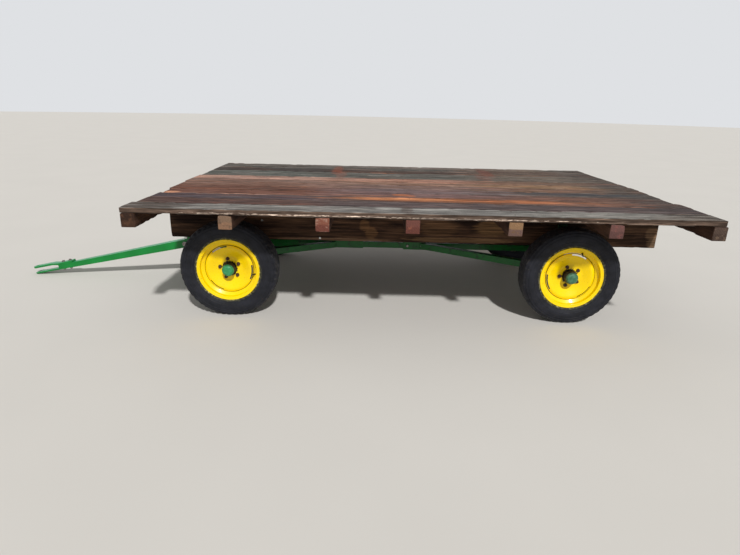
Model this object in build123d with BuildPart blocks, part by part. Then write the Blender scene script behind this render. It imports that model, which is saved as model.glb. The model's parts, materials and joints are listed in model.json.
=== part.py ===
"""Flat-deck hay wagon on a steel running gear that steers itself from its tongue.

Millimetres, +Z up, the front (the tongue) towards -X and the left side towards -Y.
The origin lies on the floor under the middle of the whole wagon, its tongue resting on the floor.
"""
import os
from math import asin, atan2, cos, degrees, hypot, radians, sin

from build123d import *

os.makedirs("parts", exist_ok=True)

# Clearances
RUNNING_FIT = 0.05      # radial play of a pin or spindle in its bore
THRUST_GAP = 0.3        # play between two faces that turn on each other
SEAT_GAP = 0.3          # play between round pieces that only rest on each other
SLIDE_GAP = 0.5         # play of the inner reach tube in the outer one and in its clamp

# Wooden deck, from the top down
DECK_LENGTH = 3658
DECK_WIDTH = 2438
PLANK_THICK = 38
PLANK_GAP = 3
CROSS_SILL = 89
SILL_DEPTH = 235
SILL_THICK = 76
SILL_INSET = 81         # from a kingpin's axis in to the outer face of the long sill
SILL_FRONT_INSET = 20   # from the deck's front end to the sills' front end
SILL_REAR_INSET = 26    # the same at the rear

# Each plank from the left side to the right: how far its front and its rear end stay back
PLANK_ENDS = [
    # front, rear
    (0, 12), (23, 15), (27, 0), (46, 34), (20, 22), (18, 10), (3, 0),
    (4, 4), (15, 9), (9, 14), (5, 19), (2, 16), (0, 12),
]

# How far behind its even place each cross sill lies, from the front one to the rear one
CROSS_SILL_SHIFTS = [0, -6, -12, -61, -36, -23, 0]

# Wheels
TYRE_RADIUS = 343
TYRE_WIDTH = 174
TREAD_WIDTH = 132
TREAD_CROWN = 5         # how much higher the tread is in its middle than at its edges
TYRE_WALL = 11
BEAD_RADIUS = 203
BEAD_WIDTH = 24
FLANGE_HEIGHT = 17.5    # the rim's flange above the bead's seat
RIM_WIDTH = 145         # over both flanges
RIM_THICK = 5
WELL_DEPTH = 25
WELL_WIDTH = 62
DISC_EDGE_WIDTH = 23    # from the disc's crown out to the inside of the well
DISC_CROWN_OFFSET = 42  # how far the disc's crown stands outboard of the wheel's middle
DISC_FLAT_RADIUS = 94
DISC_FLAT_OFFSET = 20   # outer face of the disc's flat middle
DISC_BORE_GAP = 3
SLOT_COUNT = 3
SLOT_ANGLE = 38
SLOT_DEPTH = 6
SLOT_LAND = 2           # metal left between a slot and the rim's well
HUB_FLANGE_INSET = 6    # how far the hub's flange stays inside the disc's flat middle
HUB_FLANGE_THICK = 12
HUB_RADIUS = 43
HUB_INNER_END = 45      # how far the hub reaches inboard of the wheel's middle
HUB_OUTER_END = 74      # how far it reaches outboard
CAP_INSET = 4
CAP_HEIGHT = 22
SPINDLE_RADIUS = 22
SPINDLE_STEP = 8        # how much larger the shoulder is that the hub runs against
SPINDLE_INSET = 14      # how far the spindle ends inside the hub's outer end

WHEELBASE = 2401
FRONT_AXLE_INSET = 521  # from the deck's front end to the front axle
TRACK = 1529            # between the middles of the left and the right wheel

# Running gear
AXLE_SIDE = 76
AXLE_WALL = 6
REAR_SHOULDER_LENGTH = 54
BOLSTER_HEIGHT = 83
BOLSTER_WIDTH = 89
SEAT_SIDE = 76
SEAT_PLACE = 300        # middle of each bolster seat, out from the centre line
STAKE_WIDTH = 64
STAKE_THICK = 12
STAKE_HEIGHT = 170      # above the bolster
SEAT_THICK = 25
REACH_SIDE = 60
REACH_WALL = 5
REACH_DROP = 9          # middle of the reach below the middle of the axles
REACH_OUTER_REACH = 925     # from the front axle to the outer tube's rear end
REACH_LAP = 200         # how far the inner tube reaches into the outer one
CLAMP_WALL = 8
CLAMP_INSET = 1137      # from the rear axle forward to the clamp's front end
CLAMP_LENGTH = 190
HOUND_SIDE = 50
HOUND_WALL = 5
FRONT_HOUND_SPREAD = 380
FRONT_HOUND_REACH = 697     # from the front axle to the front hounds' rear ends
FRONT_HOUND_SLOPE = 0.54
REAR_HOUND_INSET = 70   # from the end of the rear axle's tube in to the hound's middle
REAR_HOUND_SLOPE = 0.614

# Steering
KINGPIN_INSET = 164.5   # from the wheel's middle in to its kingpin
KINGPIN_RADIUS = 17.5
PIN_HEAD_RIM = 7.5      # how far a pin's head stands out around the pin
PIN_HEAD_THICK = 8
BOSS_WALL = 12.5
JAW_THICK = 12
KNUCKLE_HEIGHT = 127    # over both jaws
KNUCKLE_WEB_THICK = 16
KNUCKLE_WEB_GAP = 10
STEER_ARM = 120         # length of every steering arm, along the wagon
STEER_ARM_SPLAY = 60    # how far each arm's end lies out from its own pivot
ARM_EYE_RADIUS = 20
TIE_PIN_RADIUS = 9
TIE_EYE_RADIUS = 20
TIE_EYE_HEIGHT = 28
TIE_ROD_RADIUS = 12
PIVOT_LEAD = 381        # from the front axle forward to the steering pivot
PIVOT_RADIUS = 19
NOSE_BOSS_WALL = 16
NOSE_BOSS_HEIGHT = 70
NOSE_ARM_SPREAD = 300
NOSE_ARM_DROP = 12      # middle of the nose's arms below the middle of the axles
BRACKET_WALL = 19       # steel around the steering pivot

# Tongue
HINGE_LEAD = 202        # from the steering pivot forward to the hinge pin
HINGE_DROP = 33         # the hinge pin below the middle of the axles
HINGE_PIN_RADIUS = 12.7
LUG_THICK = 10
LUG_GAP = 1
LUG_RADIUS = 34
LUG_RISE = 76           # the lugs' top above the hinge pin
TONGUE_REAR_WIDTH = 78  # the tube tapers from its rear end to its front end
TONGUE_REAR_HEIGHT = 68
TONGUE_FRONT_WIDTH = 60
TONGUE_FRONT_HEIGHT = 40
TONGUE_WALL = 6
TONGUE_BACK = 25        # tube behind the hinge pin
TONGUE_TUBE_END = 1150  # hinge pin to the tube's front end
HITCH_REACH = 195       # from the tube's end to the hitch hole
HITCH_HOLE_RADIUS = 13.5
HITCH_END_RADIUS = 32
UPPER_STRAP_THICK = 16
LOWER_STRAP_THICK = 12
STRAP_LAP = 130         # how far the upper strap lies on the tube
STRAP_STEP = 8          # how far it steps up in front of the tube
STRAP_STEP_LENGTH = 45
HITCH_GAP = 36          # between the two straps

# Wheel sizes that follow
RIM_RADIUS = BEAD_RADIUS + FLANGE_HEIGHT
WELL_RADIUS = BEAD_RADIUS - WELL_DEPTH
WELL_INNER = WELL_RADIUS - RIM_THICK
DISC_CROWN_RADIUS = WELL_INNER - DISC_EDGE_WIDTH
DISC_BORE_RADIUS = HUB_RADIUS + DISC_BORE_GAP
HUB_FLANGE_RADIUS = DISC_FLAT_RADIUS - HUB_FLANGE_INSET
SPINDLE_SHOULDER = SPINDLE_RADIUS + SPINDLE_STEP
SPINDLE_END = HUB_OUTER_END - SPINDLE_INSET

# Places across the wagon that follow
SHOULDER_END = TRACK / 2 - HUB_INNER_END - THRUST_GAP
REAR_AXLE_END = SHOULDER_END - REAR_SHOULDER_LENGTH
REAR_HOUND_SPREAD = REAR_AXLE_END - REAR_HOUND_INSET
KINGPIN_PLACE = TRACK / 2 - KINGPIN_INSET
SILL_SPAN = 2 * (KINGPIN_PLACE - SILL_INSET)

# Heights that follow
AXLE_HEIGHT = TYRE_RADIUS
AXLE_TOP = AXLE_HEIGHT + AXLE_SIDE / 2
BOLSTER_BOTTOM = AXLE_TOP + SEAT_THICK
BOLSTER_TOP = BOLSTER_BOTTOM + BOLSTER_HEIGHT
SILL_TOP = BOLSTER_TOP + SILL_DEPTH
CROSS_SILL_TOP = SILL_TOP + CROSS_SILL
REACH_HEIGHT = AXLE_HEIGHT - REACH_DROP
JAW_BOTTOM = AXLE_HEIGHT - KNUCKLE_HEIGHT / 2
JAW_TOP = JAW_BOTTOM + KNUCKLE_HEIGHT
NOSE_ARM_HEIGHT = AXLE_HEIGHT - NOSE_ARM_DROP
PIVOT_BOSS_BOTTOM = JAW_BOTTOM + JAW_THICK + THRUST_GAP
PIVOT_BOSS_TOP = PIVOT_BOSS_BOTTOM + NOSE_BOSS_HEIGHT
BRACKET_TOP = PIVOT_BOSS_TOP + THRUST_GAP + JAW_THICK
HINGE_HEIGHT = AXLE_HEIGHT - HINGE_DROP
LUG_TOP = HINGE_HEIGHT + LUG_RISE

# The tongue comes down until the lower strap's front edge rests on the floor
HITCH_HOLE = TONGUE_TUBE_END + HITCH_REACH
UPPER_STRAP_BOTTOM = TONGUE_FRONT_HEIGHT / 2 + STRAP_STEP
UPPER_STRAP_TOP = UPPER_STRAP_BOTTOM + UPPER_STRAP_THICK
LOWER_STRAP_TOP = UPPER_STRAP_BOTTOM - HITCH_GAP
LOWEST_SIDE = LOWER_STRAP_THICK - LOWER_STRAP_TOP
HITCH_LENGTH = HITCH_HOLE + HITCH_END_RADIUS
TONGUE_DROP = asin(HINGE_HEIGHT / hypot(HITCH_LENGTH, LOWEST_SIDE)) - atan2(LOWEST_SIDE, HITCH_LENGTH)
HITCH_LEAD = HITCH_LENGTH * cos(TONGUE_DROP) + UPPER_STRAP_TOP * sin(TONGUE_DROP)

# Places along X that follow: the middle of the wagon, from the tongue's end to the deck's rear end, is 0
DECK_FRONT = (PIVOT_LEAD + HINGE_LEAD + HITCH_LEAD - FRONT_AXLE_INSET - DECK_LENGTH) / 2
FRONT_AXLE = DECK_FRONT + FRONT_AXLE_INSET
REAR_AXLE = FRONT_AXLE + WHEELBASE
PIVOT = FRONT_AXLE - PIVOT_LEAD
HINGE = PIVOT - HINGE_LEAD
CLAMP_FRONT = REAR_AXLE - CLAMP_INSET

# name, axle's place along X, side (-1 left, +1 right), degrees that the wheel stands turned on its axle
WHEELS = [
    ("front_left", FRONT_AXLE, -1, -37),
    ("front_right", FRONT_AXLE, 1, 10),
    ("rear_left", REAR_AXLE, -1, 45),
    ("rear_right", REAR_AXLE, 1, -20),
]
SIDES = [("left", -1), ("right", 1)]
AXLES = [("front", FRONT_AXLE), ("rear", REAR_AXLE)]


def save(part, name):
    """Label a finished piece and write its STEP file."""
    part.label = name
    export_step(part, f"parts/{name}.step")


def wheel_plane(axle_x, side, turn):
    """Plane through a wheel's axis: local x points outboard, local y up and then turned about the axis."""
    middle = (axle_x, side * TRACK / 2, AXLE_HEIGHT)
    normal = (side * cos(radians(turn)), 0, -sin(radians(turn)))
    return Plane(origin=middle, x_dir=(0, side, 0), z_dir=normal)


def wheel_axis(axle_x, side):
    """The line that a wheel turns on, pointing outboard."""
    return Axis((axle_x, side * TRACK / 2, AXLE_HEIGHT), (0, side, 0))


def plane_along(start, end):
    """Plane at start whose normal points to end, its local y axis as near up as it can be."""
    run = Vector(*end) - Vector(*start)
    level = Vector(-run.Y, run.X, 0).normalized()
    return Plane(origin=start, x_dir=level, z_dir=run)


# Deck planks: one solid each, side by side
plank_pitch = (DECK_WIDTH + PLANK_GAP) / len(PLANK_ENDS)
plank_width = plank_pitch - PLANK_GAP
with BuildPart() as deck_planks:
    for row, (front, rear) in enumerate(PLANK_ENDS):
        plank_y = -DECK_WIDTH / 2 + plank_width / 2 + row * plank_pitch
        plank_length = DECK_LENGTH - front - rear
        plank_x = DECK_FRONT + front + plank_length / 2
        with Locations((plank_x, plank_y, CROSS_SILL_TOP + PLANK_THICK / 2)):
            Box(plank_length, plank_width, PLANK_THICK)
save(deck_planks.part, "deck_planks")

# Cross sills under the planks
cross_sill_pitch = (DECK_LENGTH - CROSS_SILL) / (len(CROSS_SILL_SHIFTS) - 1)
cross_sill_places = [
    DECK_FRONT + CROSS_SILL / 2 + number * cross_sill_pitch + shift
    for number, shift in enumerate(CROSS_SILL_SHIFTS)
]
with BuildPart() as cross_sills:
    for cross_sill_x in cross_sill_places:
        with Locations((cross_sill_x, 0, SILL_TOP + CROSS_SILL / 2)):
            Box(CROSS_SILL, DECK_WIDTH, CROSS_SILL)
save(cross_sills.part, "cross_sills")

# Two long sills that carry the cross sills
sill_length = DECK_LENGTH - SILL_FRONT_INSET - SILL_REAR_INSET
sill_x = DECK_FRONT + SILL_FRONT_INSET + sill_length / 2
for side_name, side in SIDES:
    with BuildPart() as long_sill:
        sill_y = side * (SILL_SPAN - SILL_THICK) / 2
        with Locations((sill_x, sill_y, BOLSTER_TOP + SILL_DEPTH / 2)):
            Box(sill_length, SILL_THICK, SILL_DEPTH)
    save(long_sill.part, f"long_sill_{side_name}")

# On each axle: the bolster on its two seats, and a stake outside each long sill
for axle_name, axle_x in AXLES:
    with BuildPart() as bolster:
        with Locations((axle_x, 0, BOLSTER_BOTTOM + BOLSTER_HEIGHT / 2)):
            Box(BOLSTER_WIDTH, SILL_SPAN, BOLSTER_HEIGHT)
            Box(BOLSTER_WIDTH - 2 * AXLE_WALL, SILL_SPAN, BOLSTER_HEIGHT - 2 * AXLE_WALL, mode=Mode.SUBTRACT)
        for _, side in SIDES:
            with Locations((axle_x, side * SEAT_PLACE, AXLE_TOP + SEAT_THICK / 2)):
                Box(SEAT_SIDE, SEAT_SIDE, SEAT_THICK)
    save(bolster.part, f"bolster_{axle_name}")

    with BuildPart() as stakes:
        for _, side in SIDES:
            stake_y = side * (SILL_SPAN + STAKE_THICK) / 2
            stake_length = BOLSTER_HEIGHT + STAKE_HEIGHT
            with Locations((axle_x, stake_y, BOLSTER_BOTTOM + stake_length / 2)):
                Box(STAKE_WIDTH, STAKE_THICK, stake_length)
    save(stakes.part, f"stakes_{axle_name}")

# Front axle: a square tube that ends in a boss for each kingpin
boss_bottom = JAW_BOTTOM + JAW_THICK + THRUST_GAP
boss_top = JAW_TOP - JAW_THICK - THRUST_GAP
boss_radius = KINGPIN_RADIUS + BOSS_WALL
with BuildPart() as front_axle:
    with Locations((FRONT_AXLE, 0, AXLE_HEIGHT)):
        Box(AXLE_SIDE, 2 * KINGPIN_PLACE, AXLE_SIDE)
        Box(AXLE_SIDE - 2 * AXLE_WALL, 2 * (KINGPIN_PLACE - boss_radius - AXLE_WALL),
            AXLE_SIDE - 2 * AXLE_WALL, mode=Mode.SUBTRACT)
    for _, side in SIDES:
        with Locations((FRONT_AXLE, side * KINGPIN_PLACE, AXLE_HEIGHT)):
            Box(AXLE_SIDE, 2 * boss_radius, AXLE_SIDE, mode=Mode.SUBTRACT)
        with BuildSketch(Plane.XY.offset(boss_bottom)):
            with Locations((FRONT_AXLE, side * KINGPIN_PLACE)):
                Circle(boss_radius)
            with Locations((FRONT_AXLE, side * (KINGPIN_PLACE - boss_radius / 2 - AXLE_WALL / 2))):
                Rectangle(2 * boss_radius, boss_radius + AXLE_WALL)
        extrude(amount=boss_top - boss_bottom)
        with BuildSketch(Plane.XY.offset(boss_bottom)):
            with Locations((FRONT_AXLE, side * KINGPIN_PLACE)):
                Circle(KINGPIN_RADIUS + RUNNING_FIT)
        extrude(amount=boss_top - boss_bottom, mode=Mode.SUBTRACT)
save(front_axle.part, "axle_front")

# Rear axle: a square tube with a spindle at each end
with BuildPart() as rear_axle:
    with Locations((REAR_AXLE, 0, AXLE_HEIGHT)):
        Box(AXLE_SIDE, 2 * REAR_AXLE_END, AXLE_SIDE)
        Box(AXLE_SIDE - 2 * AXLE_WALL, 2 * (REAR_AXLE_END - AXLE_WALL), AXLE_SIDE - 2 * AXLE_WALL,
            mode=Mode.SUBTRACT)
    for _, side in SIDES:
        end_plane = Plane(origin=(REAR_AXLE, side * REAR_AXLE_END, AXLE_HEIGHT), z_dir=(0, side, 0))
        with BuildSketch(end_plane):
            Circle(SPINDLE_SHOULDER)
        extrude(amount=REAR_SHOULDER_LENGTH)
        with BuildSketch(end_plane):
            Circle(SPINDLE_RADIUS)
        extrude(amount=TRACK / 2 + SPINDLE_END - REAR_AXLE_END)
save(rear_axle.part, "axle_rear")

# Reach: the outer tube is welded to the front axle, the inner one slides in it and is clamped at the rear
reach_start = FRONT_AXLE + AXLE_SIDE / 2
reach_outer_end = FRONT_AXLE + REACH_OUTER_REACH
with BuildPart() as reach_outer:
    with BuildSketch(Plane.YZ.offset(reach_start)):
        with Locations((0, REACH_HEIGHT)):
            Rectangle(REACH_SIDE, REACH_SIDE)
            Rectangle(REACH_SIDE - 2 * REACH_WALL, REACH_SIDE - 2 * REACH_WALL, mode=Mode.SUBTRACT)
    extrude(amount=reach_outer_end - reach_start)
save(reach_outer.part, "reach_outer")

inner_side = REACH_SIDE - 2 * REACH_WALL - 2 * SLIDE_GAP
inner_start = reach_outer_end - REACH_LAP
inner_end = REAR_AXLE - AXLE_SIDE / 2
with BuildPart() as reach_inner:
    with BuildSketch(Plane.YZ.offset(inner_start)):
        with Locations((0, REACH_HEIGHT)):
            Rectangle(inner_side, inner_side)
            Rectangle(inner_side - 2 * REACH_WALL, inner_side - 2 * REACH_WALL, mode=Mode.SUBTRACT)
    extrude(amount=inner_end - inner_start)
save(reach_inner.part, "reach_inner")

clamp_side = inner_side + 2 * SLIDE_GAP + 2 * CLAMP_WALL
with BuildPart() as reach_clamp:
    with BuildSketch(Plane.YZ.offset(CLAMP_FRONT)):
        with Locations((0, REACH_HEIGHT)):
            Rectangle(clamp_side, clamp_side)
            Rectangle(clamp_side - 2 * CLAMP_WALL, clamp_side - 2 * CLAMP_WALL, mode=Mode.SUBTRACT)
    extrude(amount=CLAMP_LENGTH)
save(reach_clamp.part, "reach_clamp")


def hound_arm(axle_face, direction, spread, slope, side, stop_y, stop_x):
    """One brace from an axle's face in to the reach, cut flat at both; direction is +1 rearwards."""
    start = (axle_face - direction * HOUND_SIDE, side * (spread + slope * HOUND_SIDE), REACH_HEIGHT)
    run = spread / slope + 2 * HOUND_SIDE
    end = (axle_face + direction * run, side * (spread - slope * run), REACH_HEIGHT)
    with BuildPart() as arm:
        with BuildSketch(plane_along(start, end)):
            Rectangle(HOUND_SIDE, HOUND_SIDE)
            Rectangle(HOUND_SIDE - 2 * HOUND_WALL, HOUND_SIDE - 2 * HOUND_WALL, mode=Mode.SUBTRACT)
        extrude(amount=(Vector(*end) - Vector(*start)).length)
        split(bisect_by=Plane(origin=(axle_face, 0, 0), z_dir=(direction, 0, 0)), keep=Keep.TOP)
        split(bisect_by=Plane(origin=(0, side * stop_y, 0), z_dir=(0, side, 0)), keep=Keep.TOP)
        split(bisect_by=Plane(origin=(stop_x, 0, 0), z_dir=(-direction, 0, 0)), keep=Keep.TOP)
    return arm.part


# Hounds: two braces from each axle to the reach
with BuildPart() as hounds_front:
    for _, side in SIDES:
        add(hound_arm(FRONT_AXLE + AXLE_SIDE / 2, 1, FRONT_HOUND_SPREAD, FRONT_HOUND_SLOPE, side,
                      REACH_SIDE / 2, FRONT_AXLE + FRONT_HOUND_REACH))
save(hounds_front.part, "hounds_front")

with BuildPart() as hounds_rear:
    for _, side in SIDES:
        add(hound_arm(REAR_AXLE - AXLE_SIDE / 2, -1, REAR_HOUND_SPREAD, REAR_HOUND_SLOPE, side,
                      clamp_side / 2, CLAMP_FRONT))
save(hounds_rear.part, "hounds_rear")

# Nose: two arms from the front axle forward to the boss that carries the steering pivot
nose_radius = PIVOT_RADIUS + NOSE_BOSS_WALL
with BuildPart() as nose:
    for _, side in SIDES:
        nose_start = (FRONT_AXLE, side * NOSE_ARM_SPREAD, NOSE_ARM_HEIGHT)
        nose_end = (PIVOT, 0, NOSE_ARM_HEIGHT)
        with BuildSketch(plane_along(nose_start, nose_end)):
            Rectangle(HOUND_SIDE, HOUND_SIDE)
        extrude(amount=hypot(FRONT_AXLE - PIVOT, NOSE_ARM_SPREAD))
    split(bisect_by=Plane(origin=(FRONT_AXLE - AXLE_SIDE / 2, 0, 0), z_dir=(-1, 0, 0)), keep=Keep.TOP)
    with BuildSketch(Plane.XY.offset(PIVOT_BOSS_BOTTOM)):
        with Locations((PIVOT, 0)):
            Circle(nose_radius)
    extrude(amount=NOSE_BOSS_HEIGHT)
    with BuildSketch(Plane.XY.offset(PIVOT_BOSS_BOTTOM)):
        with Locations((PIVOT, 0)):
            Circle(PIVOT_RADIUS + RUNNING_FIT)
    extrude(amount=NOSE_BOSS_HEIGHT, mode=Mode.SUBTRACT)
save(nose.part, "front_nose")

# Steering knuckles with their spindles and steering arms
web_inner = KINGPIN_PLACE + boss_radius + KNUCKLE_WEB_GAP
web_outer = web_inner + KNUCKLE_WEB_THICK
for side_name, side in SIDES:
    with BuildPart() as knuckle:
        with BuildSketch(Plane.XY.offset(JAW_BOTTOM)):
            with Locations((FRONT_AXLE, side * KINGPIN_PLACE)):
                Circle(boss_radius)
            with Locations((FRONT_AXLE - STEER_ARM, side * (KINGPIN_PLACE + STEER_ARM_SPLAY))):
                Circle(ARM_EYE_RADIUS)
            make_hull()
            with Locations((FRONT_AXLE, side * (KINGPIN_PLACE + web_outer) / 2)):
                Rectangle(2 * boss_radius, web_outer - KINGPIN_PLACE)
        extrude(amount=JAW_THICK)
        with BuildSketch(Plane.XY.offset(JAW_TOP - JAW_THICK)):
            with Locations((FRONT_AXLE, side * KINGPIN_PLACE)):
                Circle(boss_radius)
            with Locations((FRONT_AXLE, side * (KINGPIN_PLACE + web_outer) / 2)):
                Rectangle(2 * boss_radius, web_outer - KINGPIN_PLACE)
        extrude(amount=JAW_THICK)
        with Locations((FRONT_AXLE, side * (web_inner + web_outer) / 2, (JAW_BOTTOM + JAW_TOP) / 2)):
            Box(2 * boss_radius, KNUCKLE_WEB_THICK, KNUCKLE_HEIGHT)
        web_plane = Plane(origin=(FRONT_AXLE, side * web_outer, AXLE_HEIGHT), z_dir=(0, side, 0))
        with BuildSketch(web_plane):
            Circle(SPINDLE_SHOULDER)
        extrude(amount=SHOULDER_END - web_outer)
        with BuildSketch(web_plane):
            Circle(SPINDLE_RADIUS)
        extrude(amount=TRACK / 2 + SPINDLE_END - web_outer)
        with BuildSketch(Plane.XY.offset(JAW_BOTTOM)):
            with Locations((FRONT_AXLE, side * KINGPIN_PLACE)):
                Circle(KINGPIN_RADIUS + RUNNING_FIT)
        extrude(amount=KNUCKLE_HEIGHT, mode=Mode.SUBTRACT)
        with BuildSketch(Plane.XY.offset(JAW_BOTTOM)):
            with Locations((FRONT_AXLE - STEER_ARM, side * (KINGPIN_PLACE + STEER_ARM_SPLAY))):
                Circle(TIE_PIN_RADIUS + RUNNING_FIT)
        extrude(amount=JAW_THICK, mode=Mode.SUBTRACT)
    save(knuckle.part, f"knuckle_{side_name}")

    with BuildPart() as kingpin:
        with BuildSketch(Plane.XY.offset(JAW_BOTTOM)):
            with Locations((FRONT_AXLE, side * KINGPIN_PLACE)):
                Circle(KINGPIN_RADIUS)
        extrude(amount=KNUCKLE_HEIGHT)
        for head_bottom in (JAW_BOTTOM - PIN_HEAD_THICK, JAW_TOP):
            with BuildSketch(Plane.XY.offset(head_bottom)):
                with Locations((FRONT_AXLE, side * KINGPIN_PLACE)):
                    Circle(KINGPIN_RADIUS + PIN_HEAD_RIM)
            extrude(amount=PIN_HEAD_THICK)
    save(kingpin.part, f"kingpin_{side_name}")

# Steering bracket: two plates over and under the nose's boss, and the lugs of the tongue's hinge
lug_inner = TONGUE_REAR_WIDTH / 2 + LUG_GAP
lug_outer = lug_inner + LUG_THICK
lug_rear = PIVOT - nose_radius - THRUST_GAP - LUG_THICK
plate_front = HINGE + hypot(TONGUE_BACK, TONGUE_REAR_HEIGHT / 2) + 2 * LUG_THICK
arm_x = PIVOT - STEER_ARM
with BuildPart() as bracket:
    for plate_bottom, ears in ((JAW_BOTTOM, SIDES), (BRACKET_TOP - JAW_THICK, [])):
        with BuildSketch(Plane.XY.offset(plate_bottom)):
            with Locations((PIVOT, 0)):
                Circle(PIVOT_RADIUS + BRACKET_WALL)
            with Locations(((plate_front + lug_rear) / 2, 0)):
                Rectangle(lug_rear - plate_front, 2 * lug_outer)
            for _, side in ears:
                with Locations((arm_x, side * STEER_ARM_SPLAY)):
                    Circle(ARM_EYE_RADIUS)
            make_hull()
        extrude(amount=JAW_THICK)
    for lug_offset in (lug_inner, -lug_outer):
        with BuildSketch(Plane.XZ.offset(lug_offset)):
            with Locations((HINGE, HINGE_HEIGHT)):
                Circle(LUG_RADIUS)
            with Locations(((HINGE + lug_rear) / 2, (JAW_BOTTOM + LUG_TOP) / 2)):
                Rectangle(lug_rear - HINGE, LUG_TOP - JAW_BOTTOM)
        extrude(amount=LUG_THICK)
    with BuildSketch(Plane.XZ.offset(-lug_outer)):
        with Locations((HINGE, HINGE_HEIGHT)):
            Circle(HINGE_PIN_RADIUS + RUNNING_FIT)
    extrude(amount=2 * lug_outer, mode=Mode.SUBTRACT)
    with BuildSketch(Plane.XY.offset(JAW_BOTTOM)):
        with Locations((PIVOT, 0)):
            Circle(PIVOT_RADIUS + RUNNING_FIT)
    extrude(amount=BRACKET_TOP - JAW_BOTTOM, mode=Mode.SUBTRACT)
    with BuildSketch(Plane.XY.offset(JAW_BOTTOM)):
        for _, side in SIDES:
            with Locations((arm_x, side * STEER_ARM_SPLAY)):
                Circle(TIE_PIN_RADIUS + RUNNING_FIT)
    extrude(amount=JAW_THICK, mode=Mode.SUBTRACT)
save(bracket.part, "steering_bracket")

with BuildPart() as pivot_pin:
    with BuildSketch(Plane.XY.offset(JAW_BOTTOM)):
        with Locations((PIVOT, 0)):
            Circle(PIVOT_RADIUS)
    extrude(amount=BRACKET_TOP - JAW_BOTTOM)
    for head_bottom in (JAW_BOTTOM - PIN_HEAD_THICK, BRACKET_TOP):
        with BuildSketch(Plane.XY.offset(head_bottom)):
            with Locations((PIVOT, 0)):
                Circle(PIVOT_RADIUS + PIN_HEAD_RIM)
        extrude(amount=PIN_HEAD_THICK)
save(pivot_pin.part, "pivot_pin")

with BuildPart() as hinge_pin:
    with BuildSketch(Plane.XZ.offset(-lug_outer)):
        with Locations((HINGE, HINGE_HEIGHT)):
            Circle(HINGE_PIN_RADIUS)
    extrude(amount=2 * lug_outer)
    for head_offset in (-lug_outer - PIN_HEAD_THICK, lug_outer):
        with BuildSketch(Plane.XZ.offset(head_offset)):
            with Locations((HINGE, HINGE_HEIGHT)):
                Circle(HINGE_PIN_RADIUS + PIN_HEAD_RIM)
        extrude(amount=PIN_HEAD_THICK)
save(hinge_pin.part, "hinge_pin")

# Tie rods: an eye under each steering arm, and a pin up through eye and arm at both ends
eye_top = JAW_BOTTOM - THRUST_GAP
eye_bottom = eye_top - TIE_EYE_HEIGHT
rod_height = (eye_top + eye_bottom) / 2
for side_name, side in SIDES:
    inner_eye = (arm_x, side * STEER_ARM_SPLAY)
    outer_eye = (FRONT_AXLE - STEER_ARM, side * (KINGPIN_PLACE + STEER_ARM_SPLAY))
    with BuildPart() as tie_rod:
        rod_start = (*inner_eye, rod_height)
        rod_end = (*outer_eye, rod_height)
        with BuildSketch(plane_along(rod_start, rod_end)):
            Circle(TIE_ROD_RADIUS)
        extrude(amount=(Vector(*rod_end) - Vector(*rod_start)).length)
        with BuildSketch(Plane.XY.offset(eye_bottom)):
            with Locations(inner_eye, outer_eye):
                Circle(TIE_EYE_RADIUS)
        extrude(amount=TIE_EYE_HEIGHT)
        with BuildSketch(Plane.XY.offset(eye_bottom)):
            with Locations(inner_eye, outer_eye):
                Circle(TIE_PIN_RADIUS)
        extrude(amount=JAW_BOTTOM + JAW_THICK - eye_bottom)
    save(tie_rod.part, f"tie_rod_{side_name}")

# Tongue: a tapered box tube on the hinge pin, with the hitch straps at its front end
tongue_way = (-cos(TONGUE_DROP), 0, -sin(TONGUE_DROP))
tongue_plane = Plane(origin=(HINGE, 0, HINGE_HEIGHT), x_dir=tongue_way, z_dir=(0, 1, 0))


def tongue_size(place):
    """Width and height of the tongue's tube at a place along it, measured from the hinge pin."""
    share = (place + TONGUE_BACK) / (TONGUE_TUBE_END + TONGUE_BACK)
    width = TONGUE_REAR_WIDTH + share * (TONGUE_FRONT_WIDTH - TONGUE_REAR_WIDTH)
    height = TONGUE_REAR_HEIGHT + share * (TONGUE_FRONT_HEIGHT - TONGUE_REAR_HEIGHT)
    return width, height


with BuildPart() as tongue:
    for front_end, inset, mode in (
        (TONGUE_TUBE_END, 0, Mode.ADD),
        (TONGUE_TUBE_END - TONGUE_WALL, TONGUE_WALL, Mode.SUBTRACT),
    ):
        for place in (-TONGUE_BACK, front_end):
            width, height = tongue_size(place)
            section_middle = tongue_plane.from_local_coords((place, 0, 0))
            with BuildSketch(Plane(origin=section_middle, x_dir=(0, 1, 0), z_dir=tongue_way)):
                Rectangle(width - 2 * inset, height - 2 * inset)
        loft(ruled=True, mode=mode)
    with BuildSketch(tongue_plane):
        Circle(HINGE_PIN_RADIUS + TONGUE_WALL)
    extrude(amount=TONGUE_REAR_WIDTH / 2, both=True)
    with BuildSketch(tongue_plane):
        Circle(HINGE_PIN_RADIUS + RUNNING_FIT)
    extrude(amount=TONGUE_REAR_WIDTH / 2, both=True, mode=Mode.SUBTRACT)
save(tongue.part, "tongue_tube")


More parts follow.
